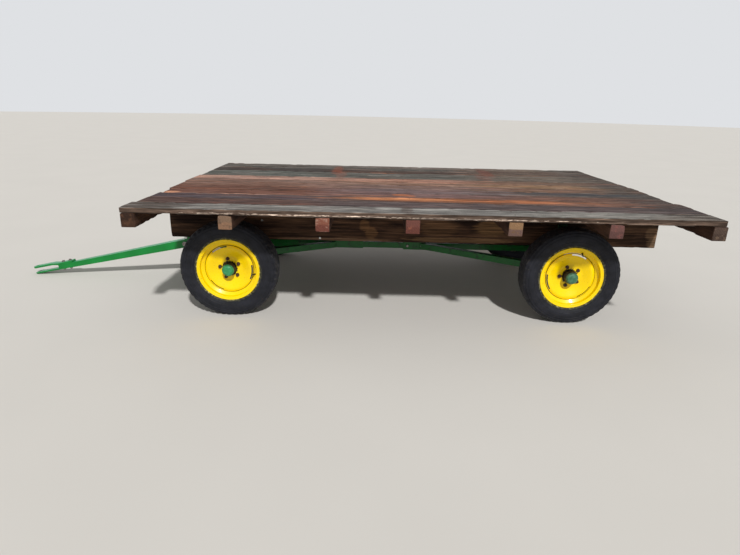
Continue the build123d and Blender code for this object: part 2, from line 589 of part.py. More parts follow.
# Hitch straps: the underside of each from its rear end to its front, along the tongue and off its axis
upper_strap_rear = TONGUE_TUBE_END - STRAP_LAP
upper_line = [
    (upper_strap_rear, tongue_size(upper_strap_rear)[1] / 2), (TONGUE_TUBE_END, TONGUE_FRONT_HEIGHT / 2),
    (TONGUE_TUBE_END + STRAP_STEP_LENGTH, UPPER_STRAP_BOTTOM), (HITCH_LENGTH, UPPER_STRAP_BOTTOM),
]
lower_line = [(TONGUE_TUBE_END, -LOWEST_SIDE), (HITCH_LENGTH, -LOWEST_SIDE)]
above_plane = Plane(origin=tongue_plane.origin, x_dir=tongue_way, z_dir=tongue_plane.y_dir)
for strap_name, underside, thick in (
    ("upper", upper_line, UPPER_STRAP_THICK),
    ("lower", lower_line, LOWER_STRAP_THICK),
):
    strap_start = underside[0][0]
    topside = [(along, height + thick) for along, height in reversed(underside)]
    with BuildPart() as strap:
        with BuildSketch(tongue_plane):
            with BuildLine():
                Polyline(*underside, *topside, close=True)
            make_face()
        extrude(amount=HITCH_END_RADIUS, both=True)
        with BuildSketch(above_plane):
            with Locations((HITCH_HOLE, 0)):
                Circle(HITCH_END_RADIUS)
            with Locations(((HITCH_HOLE + strap_start) / 2, 0)):
                Rectangle(HITCH_HOLE - strap_start, 2 * HITCH_END_RADIUS)
            with Locations((HITCH_HOLE, 0)):
                Circle(HITCH_HOLE_RADIUS, mode=Mode.SUBTRACT)
        extrude(amount=2 * UPPER_STRAP_TOP, both=True, mode=Mode.INTERSECT)
    save(strap.part, f"hitch_strap_{strap_name}")

# Wheels
for wheel_name, axle_x, side, turn in WHEELS:
    plane = wheel_plane(axle_x, side, turn)
    axis = wheel_axis(axle_x, side)

    with BuildPart() as tyre:
        bead_face = RIM_WIDTH / 2 - RIM_THICK - SEAT_GAP
        bead_base = BEAD_RADIUS + SEAT_GAP
        bead_top = RIM_RADIUS + 2
        tread_edge = TYRE_RADIUS - TREAD_CROWN
        bulge_radius = (bead_top + tread_edge) / 2
        inner_edge = tread_edge - TYRE_WALL
        bead_inner = bead_face - BEAD_WIDTH / 2
        with BuildSketch(plane):
            with BuildLine():
                for way in (1, -1):
                    ThreePointArc((way * bead_face, bead_top), (way * TYRE_WIDTH / 2, bulge_radius),
                                  (way * TREAD_WIDTH / 2, tread_edge))
                    Polyline((way * bead_face, bead_top), (way * bead_face, bead_base),
                             (way * bead_inner, bead_base), (way * bead_inner, bead_top))
                    ThreePointArc((way * bead_inner, bead_top), (way * (TYRE_WIDTH / 2 - TYRE_WALL), bulge_radius),
                                  (way * (TREAD_WIDTH / 2 - TYRE_WALL), inner_edge))
                ThreePointArc((TREAD_WIDTH / 2, tread_edge), (0, TYRE_RADIUS), (-TREAD_WIDTH / 2, tread_edge))
                Line((TREAD_WIDTH / 2 - TYRE_WALL, inner_edge), (TYRE_WALL - TREAD_WIDTH / 2, inner_edge))
            make_face()
        revolve(axis=axis)
    save(tyre.part, f"tyre_{wheel_name}")

    with BuildPart() as rim:
        flat_outer = DISC_FLAT_OFFSET
        flat_inner = DISC_FLAT_OFFSET - RIM_THICK
        slot_radius = WELL_INNER - SLOT_LAND - SLOT_DEPTH / 2
        with BuildSketch(plane):
            with BuildLine():
                Polyline(
                    (flat_inner, DISC_BORE_RADIUS), (flat_outer, DISC_BORE_RADIUS),
                    (flat_outer, DISC_FLAT_RADIUS), (DISC_CROWN_OFFSET, DISC_CROWN_RADIUS),
                    (DISC_CROWN_OFFSET - RIM_THICK, WELL_INNER), (flat_outer - RIM_THICK, WELL_INNER),
                    (flat_outer - RIM_THICK, WELL_INNER - RIM_THICK),
                    (DISC_CROWN_OFFSET - 2 * RIM_THICK, WELL_INNER - RIM_THICK),
                    (DISC_CROWN_OFFSET - RIM_THICK, DISC_CROWN_RADIUS),
                    (flat_inner, DISC_FLAT_RADIUS + RIM_THICK / 2), (flat_inner, DISC_BORE_RADIUS),
                )
            make_face()
        revolve(axis=axis)
        with BuildSketch(Plane(origin=plane.origin, x_dir=plane.y_dir, z_dir=plane.x_dir)):
            for slot in range(SLOT_COUNT):
                slot_middle = (slot + 0.5) * 360 / SLOT_COUNT
                with BuildLine():
                    slot_arc = CenterArc((0, 0), slot_radius, slot_middle - SLOT_ANGLE / 2, SLOT_ANGLE)
                SlotArc(slot_arc, SLOT_DEPTH)
        extrude(amount=DISC_CROWN_OFFSET, mode=Mode.SUBTRACT)
        flange = RIM_WIDTH / 2
        half_well = WELL_WIDTH / 2
        bead_end = flange - RIM_THICK - BEAD_WIDTH
        seat = BEAD_RADIUS
        with BuildSketch(plane):
            with BuildLine():
                Polyline(
                    (flange, RIM_RADIUS), (flange - RIM_THICK, RIM_RADIUS), (flange - RIM_THICK, seat),
                    (bead_end, seat), (half_well, WELL_RADIUS), (-half_well, WELL_RADIUS),
                    (-bead_end, seat), (RIM_THICK - flange, seat), (RIM_THICK - flange, RIM_RADIUS),
                    (-flange, RIM_RADIUS), (-flange, seat - RIM_THICK), (-bead_end - RIM_THICK / 2, seat - RIM_THICK),
                    (-half_well - RIM_THICK / 2, WELL_INNER), (half_well + RIM_THICK / 2, WELL_INNER),
                    (bead_end + RIM_THICK / 2, seat - RIM_THICK), (flange, seat - RIM_THICK), (flange, RIM_RADIUS),
                )
            make_face()
        revolve(axis=axis)
    save(rim.part, f"rim_{wheel_name}")

    with BuildPart() as hub:
        flange_face = DISC_FLAT_OFFSET - RIM_THICK
        with BuildSketch(plane):
            with BuildLine():
                Polyline(
                    (-HUB_INNER_END, SPINDLE_RADIUS + RUNNING_FIT), (HUB_OUTER_END, SPINDLE_RADIUS + RUNNING_FIT),
                    (HUB_OUTER_END, HUB_RADIUS), (flange_face, HUB_RADIUS), (flange_face, HUB_FLANGE_RADIUS),
                    (flange_face - HUB_FLANGE_THICK, HUB_FLANGE_RADIUS), (flange_face - HUB_FLANGE_THICK, HUB_RADIUS),
                    (-HUB_INNER_END, HUB_RADIUS), (-HUB_INNER_END, SPINDLE_RADIUS + RUNNING_FIT),
                )
            make_face()
        revolve(axis=axis)
    save(hub.part, f"hub_{wheel_name}")

    with BuildPart() as cap:
        cap_radius = HUB_RADIUS - CAP_INSET
        with BuildSketch(plane):
            with BuildLine():
                Line((HUB_OUTER_END, 0), (HUB_OUTER_END, cap_radius))
                TangentArc((HUB_OUTER_END + CAP_HEIGHT, 0), (HUB_OUTER_END, cap_radius), tangent=(0, 1))
                Line((HUB_OUTER_END, 0), (HUB_OUTER_END + CAP_HEIGHT, 0))
            make_face()
        revolve(axis=axis)
    save(cap.part, f"hub_cap_{wheel_name}")

print("deck front x", round(DECK_FRONT, 3), "deck top", CROSS_SILL_TOP + PLANK_THICK)
print("tongue drop", round(degrees(TONGUE_DROP), 3), "hinge", round(HINGE, 3), "pivot", round(PIVOT, 3))
print("axles", round(FRONT_AXLE, 3), round(REAR_AXLE, 3))
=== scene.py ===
"""Hay wagon: weathered boards, timber sills, green running gear and yellow rims, built on the CAD frame.

Metres, +Z up, the front (the tongue) towards -X and the left side towards -Y, as in the CAD frame.
"""

import json
from math import atan2, degrees, hypot, pi, radians, sin, cos, sqrt

import bmesh
import bpy
from mathutils import Matrix, Vector, noise
from mathutils.bvhtree import BVHTree

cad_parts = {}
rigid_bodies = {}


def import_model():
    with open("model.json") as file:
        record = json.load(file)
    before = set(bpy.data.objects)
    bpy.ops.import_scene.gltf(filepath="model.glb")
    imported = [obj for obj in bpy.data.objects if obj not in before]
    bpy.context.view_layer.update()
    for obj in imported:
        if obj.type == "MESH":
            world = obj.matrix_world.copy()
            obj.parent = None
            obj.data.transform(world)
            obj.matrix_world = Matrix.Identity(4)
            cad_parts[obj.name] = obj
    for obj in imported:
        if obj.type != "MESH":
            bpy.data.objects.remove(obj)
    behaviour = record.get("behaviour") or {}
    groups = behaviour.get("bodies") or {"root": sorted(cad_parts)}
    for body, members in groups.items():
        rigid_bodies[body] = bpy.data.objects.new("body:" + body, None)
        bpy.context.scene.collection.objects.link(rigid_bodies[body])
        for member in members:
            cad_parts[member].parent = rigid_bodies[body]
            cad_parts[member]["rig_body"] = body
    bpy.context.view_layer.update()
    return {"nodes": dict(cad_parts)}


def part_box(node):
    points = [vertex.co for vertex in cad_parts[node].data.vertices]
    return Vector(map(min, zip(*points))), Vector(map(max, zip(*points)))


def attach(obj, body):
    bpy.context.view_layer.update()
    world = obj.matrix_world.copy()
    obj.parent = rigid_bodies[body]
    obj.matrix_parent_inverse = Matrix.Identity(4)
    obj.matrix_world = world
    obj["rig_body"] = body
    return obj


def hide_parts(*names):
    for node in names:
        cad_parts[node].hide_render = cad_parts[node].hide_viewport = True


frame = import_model()

bl_info = {
    "name": "Hay wagon",
    "version": (1, 0, 0),
    "blender": (4, 5, 0),
    "location": "View3D > Sidebar > Hay wagon",
    "description": "Builds the finished hay wagon around its CAD frame",
    "category": "Object",
}

MM = 0.001
WHEELS = ["front_left", "front_right", "rear_left", "rear_right"]
# Degrees that each wheel stands turned on its axle, as in the CAD frame
WHEEL_TURNS = {"front_left": -37, "front_right": 10, "rear_left": 45, "rear_right": -20}

# The floor's radius in metres, the photograph's camera, and the key light behind it on the right
FLOOR_RADIUS = 60
CAMERA_PLACE = (0.4104, -4.2574, 1.4672)
CAMERA_YAW_DEG = 0.269
CAMERA_PITCH_DEG = -18.63
CAMERA_ROLL_DEG = -1.278
KEY_ELEVATION_DEG = 42
KEY_AZIMUTH_DEG = 15
KEY_SPREAD_DEG = 3

# How far apart in metres the boards and the sills are cut across, so that their faces can wander
BOARD_STEP = 22 * MM
SILL_STEP = 40 * MM
# How often in a metre a board's faces wander, slowly and quickly, and how often its edges are chipped
SLOW_WANDER = 3.1
QUICK_WANDER = 23.0
EDGE_CHIPS = 17.0
# Nails stand at these shares of a board's width, and stray so many mm along and across it, by a noise that
# is read at NAIL_WANDER. NAIL_SEED keeps their places the same each run, because Blender otherwise seeds
# that noise from the clock. NAIL_THICK is a head's thickness in mm, and NAIL_SUNK how deep its middle lies
NAIL_SHARES = (0.2, 0.8)
NAIL_STRAY = (18, 14)
NAIL_WANDER = 40
NAIL_SEED = 1
NAIL_THICK = 3
NAIL_SUNK = 1.7

# Wheels, in mm and in degrees from a wheel's top: the slots of a disc, the steps that it is spun in and its
# thickness, where the valve stands and how it leans, and the first lug bolt and the radius of their circle
SLOT_COUNT = 3
SLOT_HALF_ANGLE = 19
SLOT_INNER = 157.0
SLOT_OUTER = 168.5
DISC_STEPS = 180
DISC_THICK = 4
VALVE_ANGLE = -64
VALVE_RADIUS = 184
VALVE_ALONG = 38
VALVE_LEAN = -25
LUG_ANGLE = 47
LUG_CIRCLE = 70

# Tyres, in mm: half their width, half the width at the beads and of the tread, then the radii of a bead's
# base and top and of the tread at its edges and in the middle
TYRE_HALF = 87.0
BEAD_HALF = 67.2
TREAD_HALF = 66.0
BEAD_BASE = 203.3
BEAD_TOP = 222.5
TREAD_EDGE = 338.0
TREAD_CROWN = 343.0
# Rings round the sidewall: middle radius, half width and height in mm
SIDEWALL_RINGS = [
    (229, 4, 3.0),
    (241, 2.2, -1.6),
    (260, 2.4, 1.8),
    (299, 2.4, 1.8),
    (317, 3.5, 2.4),
    (328, 2.2, -2.0),
]
# Grooves of the tread: distance from the middle and half width in mm, and share of the full depth
GROOVES = [(52, 2.5, 0.6), (30, 4.5, 1.0), (10, 4.5, 1.0)]
# How far in mm the grooves lie aside at each of the steps that one block of the tread is spun in
ZIGZAG = [0, 3.2, 1.6, -1.6, -3.2]
# Depth in mm of the notches between the blocks, and the share of it and of the grooves that wear has left
NOTCH_DEPTH = 6.0
TREAD_LEFT = {"front": 1.0, "rear": 0.45}


# Colours and materials

def linear(hex_colour):
    """An sRGB hex colour as linear red, green, blue and alpha."""
    parts = [int(hex_colour[at:at + 2], 16) / 255 for at in (1, 3, 5)]
    return [*(part / 12.92 if part <= 0.04045 else ((part + 0.055) / 1.055) ** 2.4 for part in parts), 1.0]


def per_metre(*sizes):
    """Pattern sizes in mm as repeats in a metre: a noise's scale, or the scale of each axis."""
    repeats = [1000 / size for size in sizes]
    return repeats[0] if len(repeats) == 1 else repeats


def add(tree, kind, inputs=None, stops=(), interpolation="LINEAR", **settings):
    """Add a node with its settings, its ramp's stops, and inputs that are numbers, hex colours or nodes."""
    made = tree.nodes.new("ShaderNode" + kind)
    for name, value in settings.items():
        setattr(made, name, value)
    for number, (share, colour) in enumerate(stops):
        ramp = made.color_ramp
        ramp.interpolation = interpolation
        stop = ramp.elements[number] if number < 2 else ramp.elements.new(share)
        stop.position = share
        stop.color = linear(colour) if isinstance(colour, str) else colour
    for key, value in (inputs or {}).items():
        if isinstance(value, bpy.types.Node):
            value = next(output for output in value.outputs if output.enabled)
        if isinstance(value, bpy.types.NodeSocket):
            tree.links.new(value, made.inputs[key])
        else:
            made.inputs[key].default_value = linear(value) if isinstance(value, str) else value
    return made


def new_material(name):
    """A material, its empty node tree, and the Texture Coordinate node that its patterns start from."""
    material = bpy.data.materials.new(name)
    material.use_nodes = True
    tree = material.node_tree
    tree.nodes.clear()
    return material, tree, add(tree, "TexCoord")


def stretched_noises(tree, place, patterns):
    """Noises by name, from rows of a name, a size in mm along each axis, detail and roughness."""
    noises = {}
    for name, sizes, detail, rough in patterns:
        spread = add(tree, "Mapping", {"Vector": place, "Scale": per_metre(*sizes)})
        noises[name] = add(tree, "TexNoise", {
            "Vector": spread, "Scale": 1, "Detail": detail, "Roughness": rough})
    return noises


def laid_over(tree, colour, tone, amount, start, end, strength=1.0, easing="SMOOTHSTEP"):
    """The colour with a tone over it: none of it where amount is below start, its full strength past end."""
    share = add(tree, "MapRange", {"Value": amount, "From Min": start, "From Max": end, "To Max": strength},
                interpolation_type=easing)
    return add(tree, "Mix", {0: share, 6: colour, 7: tone}, data_type="RGBA")


def shaded(tree, colour, pattern, span, shades):
    """The colour made darker and lighter by a pattern: by the first shade at the low end of span, by the
    other at its high end."""
    shade = add(tree, "MapRange", {
        "Value": pattern, "From Min": span[0], "From Max": span[1], "To Min": shades[0], "To Max": shades[1]})
    return add(tree, "VectorMath", {0: colour, "Scale": shade}, operation="SCALE")


def marked(tree, colour, place, middle, halves, ragged, start, tone, strength):
    """The colour with a stained or worn place on it. Its middle and half sizes are in mm, with 0 for the axis
    that it isn't bounded on. ragged makes its edge uneven, and it fades in from start."""
    away = add(tree, "VectorMath", {0: place, 1: [part * MM for part in middle]}, operation="SUBTRACT")
    repeats = [per_metre(half) if half else 0 for half in halves]
    away = add(tree, "VectorMath", {0: away, 1: repeats}, operation="MULTIPLY")
    away = add(tree, "VectorMath", {0: away}, operation="LENGTH")
    reach = add(tree, "Math", {0: ragged, 1: away}, operation="SUBTRACT")
    return laid_over(tree, colour, tone, reach, start, -0.1, strength)


def from_axle(tree):
    """A place on a wheel's piece, split in the wheel's own coordinates, and its distance from the axle."""
    wheel = add(tree, "SeparateXYZ", {0: add(tree, "Attribute", attribute_name="wheel_place")})
    flat = add(tree, "CombineXYZ", {"X": wheel.outputs["X"], "Z": wheel.outputs["Z"]})
    return wheel, add(tree, "VectorMath", {0: flat}, operation="LENGTH")


def finish(material, colour, relief, roughness, shader):
    """End a material. relief is a height, its strength and its depth in mm. roughness is a pattern, the span
    of it that counts, and the roughness at the ends of that span. shader is the shader's other inputs."""
    tree = material.node_tree
    height, strength, depth = relief
    pattern, span, (low, high) = roughness
    bump = add(tree, "Bump", {"Strength": strength, "Distance": depth * MM, "Height": height})
    rough = add(tree, "MapRange", {
        "Value": pattern, "From Min": span[0], "From Max": span[1], "To Min": low, "To Max": high})
    surface = add(tree, "BsdfPrincipled", {
        "Base Color": colour, "Roughness": rough, "Normal": bump, **shader})
    add(tree, "OutputMaterial", {"Surface": surface})
    return material


# What the shader of every old timber and of every enamel has in common
TIMBER = {"IOR": 1.45, "Specular IOR Level": 0.15}
ENAMEL = {"IOR": 1.5, "Specular IOR Level": 0.25, "Coat Weight": 0.15}

# Boards from the left side to the right: tones at the front, in the middle, behind it and at the rear end,
# then how bleached, how rust-stained and how damp each is
BOARD_LOOKS = [
    ("#6a6763", "#73706c", "#7c7973", "#544c45", (0.65, 0.03, 0.20)),
    ("#523c36", "#564a49", "#564948", "#494140", (0.10, 0.15, 0.45)),
    ("#4d4245", "#60493f", "#6b5044", "#4a403c", (0.10, 0.35, 0.35)),
    ("#6d483b", "#6a524f", "#694e43", "#4b403b", (0.10, 0.35, 0.30)),
    ("#6a4638", "#6d5b5a", "#57504c", "#4a443f", (0.15, 0.25, 0.35)),
    ("#745649", "#755e56", "#735848", "#4b433d", (0.15, 0.35, 0.25)),
    ("#7c6155", "#8c6c5b", "#86694f", "#4f463f", (0.20, 0.35, 0.20)),
    ("#a88474", "#99715f", "#6b5445", "#4b433e", (0.20, 0.30, 0.25)),
    ("#565852", "#4f4e48", "#63584e", "#4d463f", (0.30, 0.15, 0.40)),
    ("#585a54", "#5c5a54", "#655b50", "#4d463f", (0.30, 0.20, 0.40)),
    ("#36302c", "#44342c", "#5c4f45", "#4a423c", (0.15, 0.30, 0.45)),
    ("#4d4a45", "#4c4a45", "#54443a", "#4a423c", (0.30, 0.30, 0.35)),
    ("#54504a", "#655d56", "#6d6055", "#4c443d", (0.40, 0.20, 0.25)),
]
# Where along the wagon, in metres, each tone of a board passes into the next
TONE_SPANS = [(-0.25, 0.45), (0.95, 1.65), (1.95, 2.40)]
# Stains and worn places on the deck: middle (x, y), half length and half width in mm, colour and strength
DECK_MARKS = [
    (1020, -727, 1150, 90, "#a8663f", 0.75),
    (600, -722, 480, 60, "#cf8a5e", 0.65),
    (-440, -656, 640, 22, "#a9826f", 0.80),
    (-1020, -640, 75, 45, "#c08a6c", 0.85),
    (600, -560, 70, 55, "#b8714a", 0.80),
    (665, -590, 55, 35, "#b8714a", 0.70),
    (330, -600, 260, 30, "#9c6a50", 0.60),
    (50, 820, 65, 420, "#8c4a34", 0.45),
    (110, 480, 60, 260, "#8c4a34", 0.35),
    (1485, 850, 80, 420, "#7c4034", 0.40),
    (1400, 500, 90, 260, "#7c4034", 0.30),
    (505, -1070, 110, 60, "#b5b2ab", 0.55),
    (800, -1075, 220, 55, "#b0ada6", 0.50),
    (612, -1110, 50, 140, "#584a43", 0.60),
    (520, 655, 230, 16, "#b06a48", 0.85),
    (-500, 150, 500, 24, "#b8958a", 0.60),
    (1950, -365, 560, 80, "#3d4043", 0.85),
    (900, 130, 500, 50, "#a97b68", 0.55),
    (-1010, -1130, 330, 140, "#4f443d", 0.85),
    (-300, -1075, 500, 50, "#8b8983", 0.50),
]
# The gap between two boards, how far along its noises each board starts after the one beside it, how far the
# places where its tones change wander, and the height of the worn band on the deck's outer edges. In metres
BOARD_GAP = 3 * MM
BOARD_SHIFT = 5.3
TONE_DRIFT = 0.9
WORN_LEVEL = 11 * MM


def weathered_boards():
    """Old softwood boards, sawn and left out for years: grey where the sun bleached them, dark where rain
    stood, with what is left of a red-brown stain. Dull, with raised grain and fine cracks along it."""
    material, tree, where = new_material("weathered_softwood_boards")
    place = where.outputs["Object"]
    parts = add(tree, "SeparateXYZ", {0: place})
    facing = add(tree, "SeparateXYZ", {0: where.outputs["Normal"]})
    low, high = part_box("deck_planks")
    rows = len(BOARD_LOOKS)
    starts = [row / rows for row in range(rows)]
    across = add(tree, "MapRange", {
        "Value": parts.outputs["Y"], "From Min": low.y, "From Max": high.y + BOARD_GAP})
    tones = [add(tree, "ValToRGB", {0: across}, zip(starts, column), "CONSTANT")
             for column in zip(*(look[:4] for look in BOARD_LOOKS))]
    shares = [(*look[4], 1) for look in BOARD_LOOKS]
    shares = add(tree, "ValToRGB", {0: across}, zip(starts, shares), "CONSTANT")
    shares = add(tree, "SeparateColor", {0: shares})

    # Each board has its own stretch of the noises. Most run along the boards, and the last two are for marks
    row = add(tree, "Math", {0: across, 1: rows}, operation="MULTIPLY")
    row = add(tree, "Math", {0: row}, operation="FLOOR")
    own = add(tree, "VectorMath", {0: row, 1: (BOARD_SHIFT, 0, 0), 2: place}, operation="MULTIPLY_ADD")
    noises = stretched_noises(tree, own, [
        ("drift", (700, 40, 40), 3, 0.5),
        ("ragged", (160, 13, 13), 4, 0.6),
        ("bleach", (380, 34, 34), 5, 0.6),
        ("stain", (560, 26, 26), 4, 0.6),
        ("damp", (460, 50, 50), 3, 0.5),
        ("streak", (520, 18, 18), 4, 0.62),
        ("fleck", (110, 9, 9), 3, 0.6),
        ("grain", (210, 3.6, 3.6), 3, 0.65),
        ("crack", (330, 3.2, 3.2), 2, 0.4),
        ("scuff", (45, 45, 9), 5, 0.7),
        ("blotch", (60, 30, 30), 5, 0.7),
    ])

    # The boards' own tones pass into one another along the wagon, each at its own place
    along = add(tree, "Math", {0: noises["drift"], 1: TONE_DRIFT, 2: parts.outputs["X"]},
                operation="MULTIPLY_ADD")
    colour = tones[0]
    for tone, (start, end) in zip(tones[1:], TONE_SPANS):
        colour = laid_over(tree, colour, tone, along, start + TONE_DRIFT / 2, end + TONE_DRIFT / 2)
    for x, y, half_length, half_width, tone, strength in DECK_MARKS:
        # A mark across the boards is blotchy, one along them is streaked
        pattern = noises["blotch" if half_width > half_length else "ragged"]
        ragged = add(tree, "Math", {0: pattern, 1: 1.5, 2: -0.25}, operation="MULTIPLY_ADD")
        colour = marked(tree, colour, place, (x, y, 0), (half_length, half_width, 0), ragged, -0.45, tone,
                        strength)
    # Bleached patches, rust-red stain and damp stretches, each as strong as the board's row says
    for name, start, end, share, tone in (
            ("bleach", 0.46, 0.66, "Red", "#9d9891"),
            ("stain", 0.52, 0.70, "Green", "#a05a38"),
            ("damp", 0.50, 0.70, "Blue", "#2b2424")):
        colour = laid_over(tree, colour, tone, noises[name], start, end, shares.outputs[share])

    # Outer edges: brown, with a ragged pale band where they are worn, but not at the ends. Sawn ends are dark
    level = add(tree, "Math", {0: parts.outputs["Z"], 1: low.z + WORN_LEVEL}, operation="SUBTRACT")
    level = add(tree, "Math", {0: level}, operation="ABSOLUTE")
    worn = noises["scuff"]
    for value, start, end, first, last in (
            (level, 1 * MM, 13 * MM, 0.30, -0.05),
            (parts.outputs["X"], -0.95, -0.65, -0.30, 0.0),
            (parts.outputs["X"], 1.35, 2.2, 0.0, -0.22)):
        more = add(tree, "MapRange", {
            "Value": value, "From Min": start, "From Max": end, "To Min": first, "To Max": last})
        worn = add(tree, "Math", {0: worn, 1: more}, operation="ADD")
    edge_tone = add(tree, "Mix", {0: noises["bleach"], 6: "#33271f", 7: "#6f5c50"}, data_type="RGBA")
    edge_tone = laid_over(tree, edge_tone, "#bfac9c", worn, 0.70, 0.86)
    for axis, tone in (("Y", edge_tone), ("X", "#443a33")):
        turned_out = add(tree, "Math", {0: facing.outputs[axis]}, operation="ABSOLUTE")
        colour = laid_over(tree, colour, tone, turned_out, 0.55, 0.80)

    # Streaks, the grain and its cracks make every tone lighter and darker
    for name, shades in (("streak", (0.42, 1.60)), ("fleck", (0.50, 1.50)), ("grain", (0.55, 1.45))):
        colour = shaded(tree, colour, noises[name], (0.34, 0.66), shades)
    crack = add(tree, "MapRange", {"Value": noises["crack"], "From Min": 0.64, "From Max": 0.70},
                interpolation_type="SMOOTHSTEP")
    colour = shaded(tree, colour, crack, (0, 1), (1.0, 0.25))
    relief = add(tree, "Math", {0: noises["grain"], 1: crack}, operation="SUBTRACT")
    return finish(material, colour, (relief, 0.8, 2), (noises["grain"], (0, 1), (0.72, 0.92)), TIMBER)


# Sawn ends of the cross sills, front to rear: the tones of the upper half, the lower half and the scuffs
SILL_ENDS = [
    ("#33241c", "#422e23", "#553b2c"),
    ("#78614f", "#856650", "#57453a"),
    ("#7c4e3f", "#6a3f35", "#99796a"),
    ("#68423a", "#613a32", "#84503f"),
    ("#87694d", "#69524a", "#70553e"),
    ("#674843", "#5b403c", "#7c4e48"),
    ("#4f4038", "#453730", "#685648"),
]


def cross_sills():
    """The (lowest, highest) corners of the cross sills, front to rear."""
    return sorted(solids("cross_sills", len(SILL_ENDS)), key=lambda box: box[0].x)


def cross_sill_timber():
    """Heavy sawn softwood, dark with age and an old red stain. Dull, with open grain from side to side. Each
    end shows its growth lines and has kept its own mix of stain, scuffs and bare wood."""
    material, tree, where = new_material("stained_cross_sill_timber")
    place = where.outputs["Object"]
    parts = add(tree, "SeparateXYZ", {0: place})
    facing = add(tree, "SeparateXYZ", {0: where.outputs["Normal"]})
    noises = stretched_noises(tree, place, [
        ("patch", (90, 420, 90), 4, 0.55),
        ("grain", (5, 240, 5), 3, 0.65),
        ("scuff", (30, 30, 24), 4, 0.55),
        ("fine", (6, 6, 4), 3, 0.6),
    ])
    colour = laid_over(tree, "#2e211c", "#573e32", noises["patch"], 0.40, 0.66, easing="LINEAR")

    # The ends' tones change half way between one sill and the next
    sills = cross_sills()
    middles = [(low.x + high.x) / 2 for low, high in sills]
    start, end = middles[0] - 0.1, middles[-1] + 0.1
    along = add(tree, "MapRange", {"Value": parts.outputs["X"], "From Min": start, "From Max": end})
    borders = [0.0] + [((near + far) / 2 - start) / (end - start) for near, far in zip(middles, middles[1:])]
    upper, lower, scuffed = [add(tree, "ValToRGB", {0: along}, zip(borders, column), "CONSTANT")
                             for column in zip(*SILL_ENDS)]
    # Upper and lower tone meet at half height, in a line that a noise lifts by up to 30 mm
    low, high = sills[0]
    height = add(tree, "Math", {0: noises["scuff"], 1: 30 * MM, 2: parts.outputs["Z"]},
                 operation="MULTIPLY_ADD")
    middle = (low.z + high.z) / 2 + 15 * MM
    tone = laid_over(tree, lower, upper, height, middle - 4 * MM, middle + 4 * MM, easing="LINEAR")
    tone = laid_over(tree, tone, scuffed, noises["scuff"], 0.54, 0.66, 0.75)
    lines = add(tree, "TexWave", {"Vector": place, "Scale": per_metre(26), "Distortion": 6, "Detail": 3},
                bands_direction="DIAGONAL")
    tone = shaded(tree, tone, lines.outputs["Fac"], (0, 1), (0.88, 1.06))
    endways = add(tree, "Math", {0: facing.outputs["Y"]}, operation="ABSOLUTE")
    colour = laid_over(tree, colour, tone, endways, 0.55, 0.8)
    for name, shades in (("grain", (0.62, 1.38)), ("fine", (0.85, 1.15))):
        colour = shaded(tree, colour, noises[name], (0.28, 0.72), shades)
    grain = noises["grain"]
    return finish(material, colour, (grain, 0.8, 2), (grain, (0, 1), (0.75, 0.93)), TIMBER)


# Paler places on the long sills' faces: middle (x, z), half length and half height in mm, colour and strength
SILL_MARKS = [
    (345, 610, 50, 60, "#6b4e35", 0.75),
    (395, 555, 60, 60, "#6b4e35", 0.75),
    (900, 600, 190, 80, "#644a34", 0.70),
    (1290, 610, 170, 80, "#73573b", 0.80),
    (1050, 515, 520, 26, "#7d6145", 0.65),
    # The two at the rear end are a painted patch of sunlight, where the sun reaches past the deck's rear end
    (2470, 600, 60, 70, "#6f5742", 0.60),
    (2500, 530, 70, 70, "#775f48", 0.60),
    (100, 500, 520, 16, "#735b47", 0.65),
]


def long_sill_timber():
    """Heavy sawn softwood under the deck, near black with damp and old stain and darkened as painted shade
    from the deck, paler where it has dried or chafed, with a painted patch of sunlight at its rear end. Dull,
    with open grain along it."""
    material, tree, where = new_material("long_sill_timber_painted_shade_and_sunlight")
    place = where.outputs["Object"]
    noises = stretched_noises(tree, place, [
        ("patch", (420, 420, 70), 4, 0.55),
        ("ragged", (90, 90, 12), 5, 0.7),
        ("grain", (240, 240, 5), 3, 0.65),
        ("streak", (600, 600, 16), 4, 0.6),
    ])
    colour = laid_over(tree, "#2b1d17", "#5c4433", noises["patch"], 0.42, 0.68, easing="LINEAR")
    for x, z, half_length, half_height, tone, strength in SILL_MARKS:
        colour = marked(tree, colour, place, (x, 0, z), (half_length, 0, half_height), noises["ragged"], -0.4,
                        tone, strength)
    for name, shades in (("streak", (0.5, 1.5)), ("grain", (0.55, 1.45))):
        colour = shaded(tree, colour, noises[name], (0.34, 0.66), shades)
    grain = noises["grain"]
    return finish(material, colour, (grain, 0.8, 2), (grain, (0, 1), (0.75, 0.93)), TIMBER)


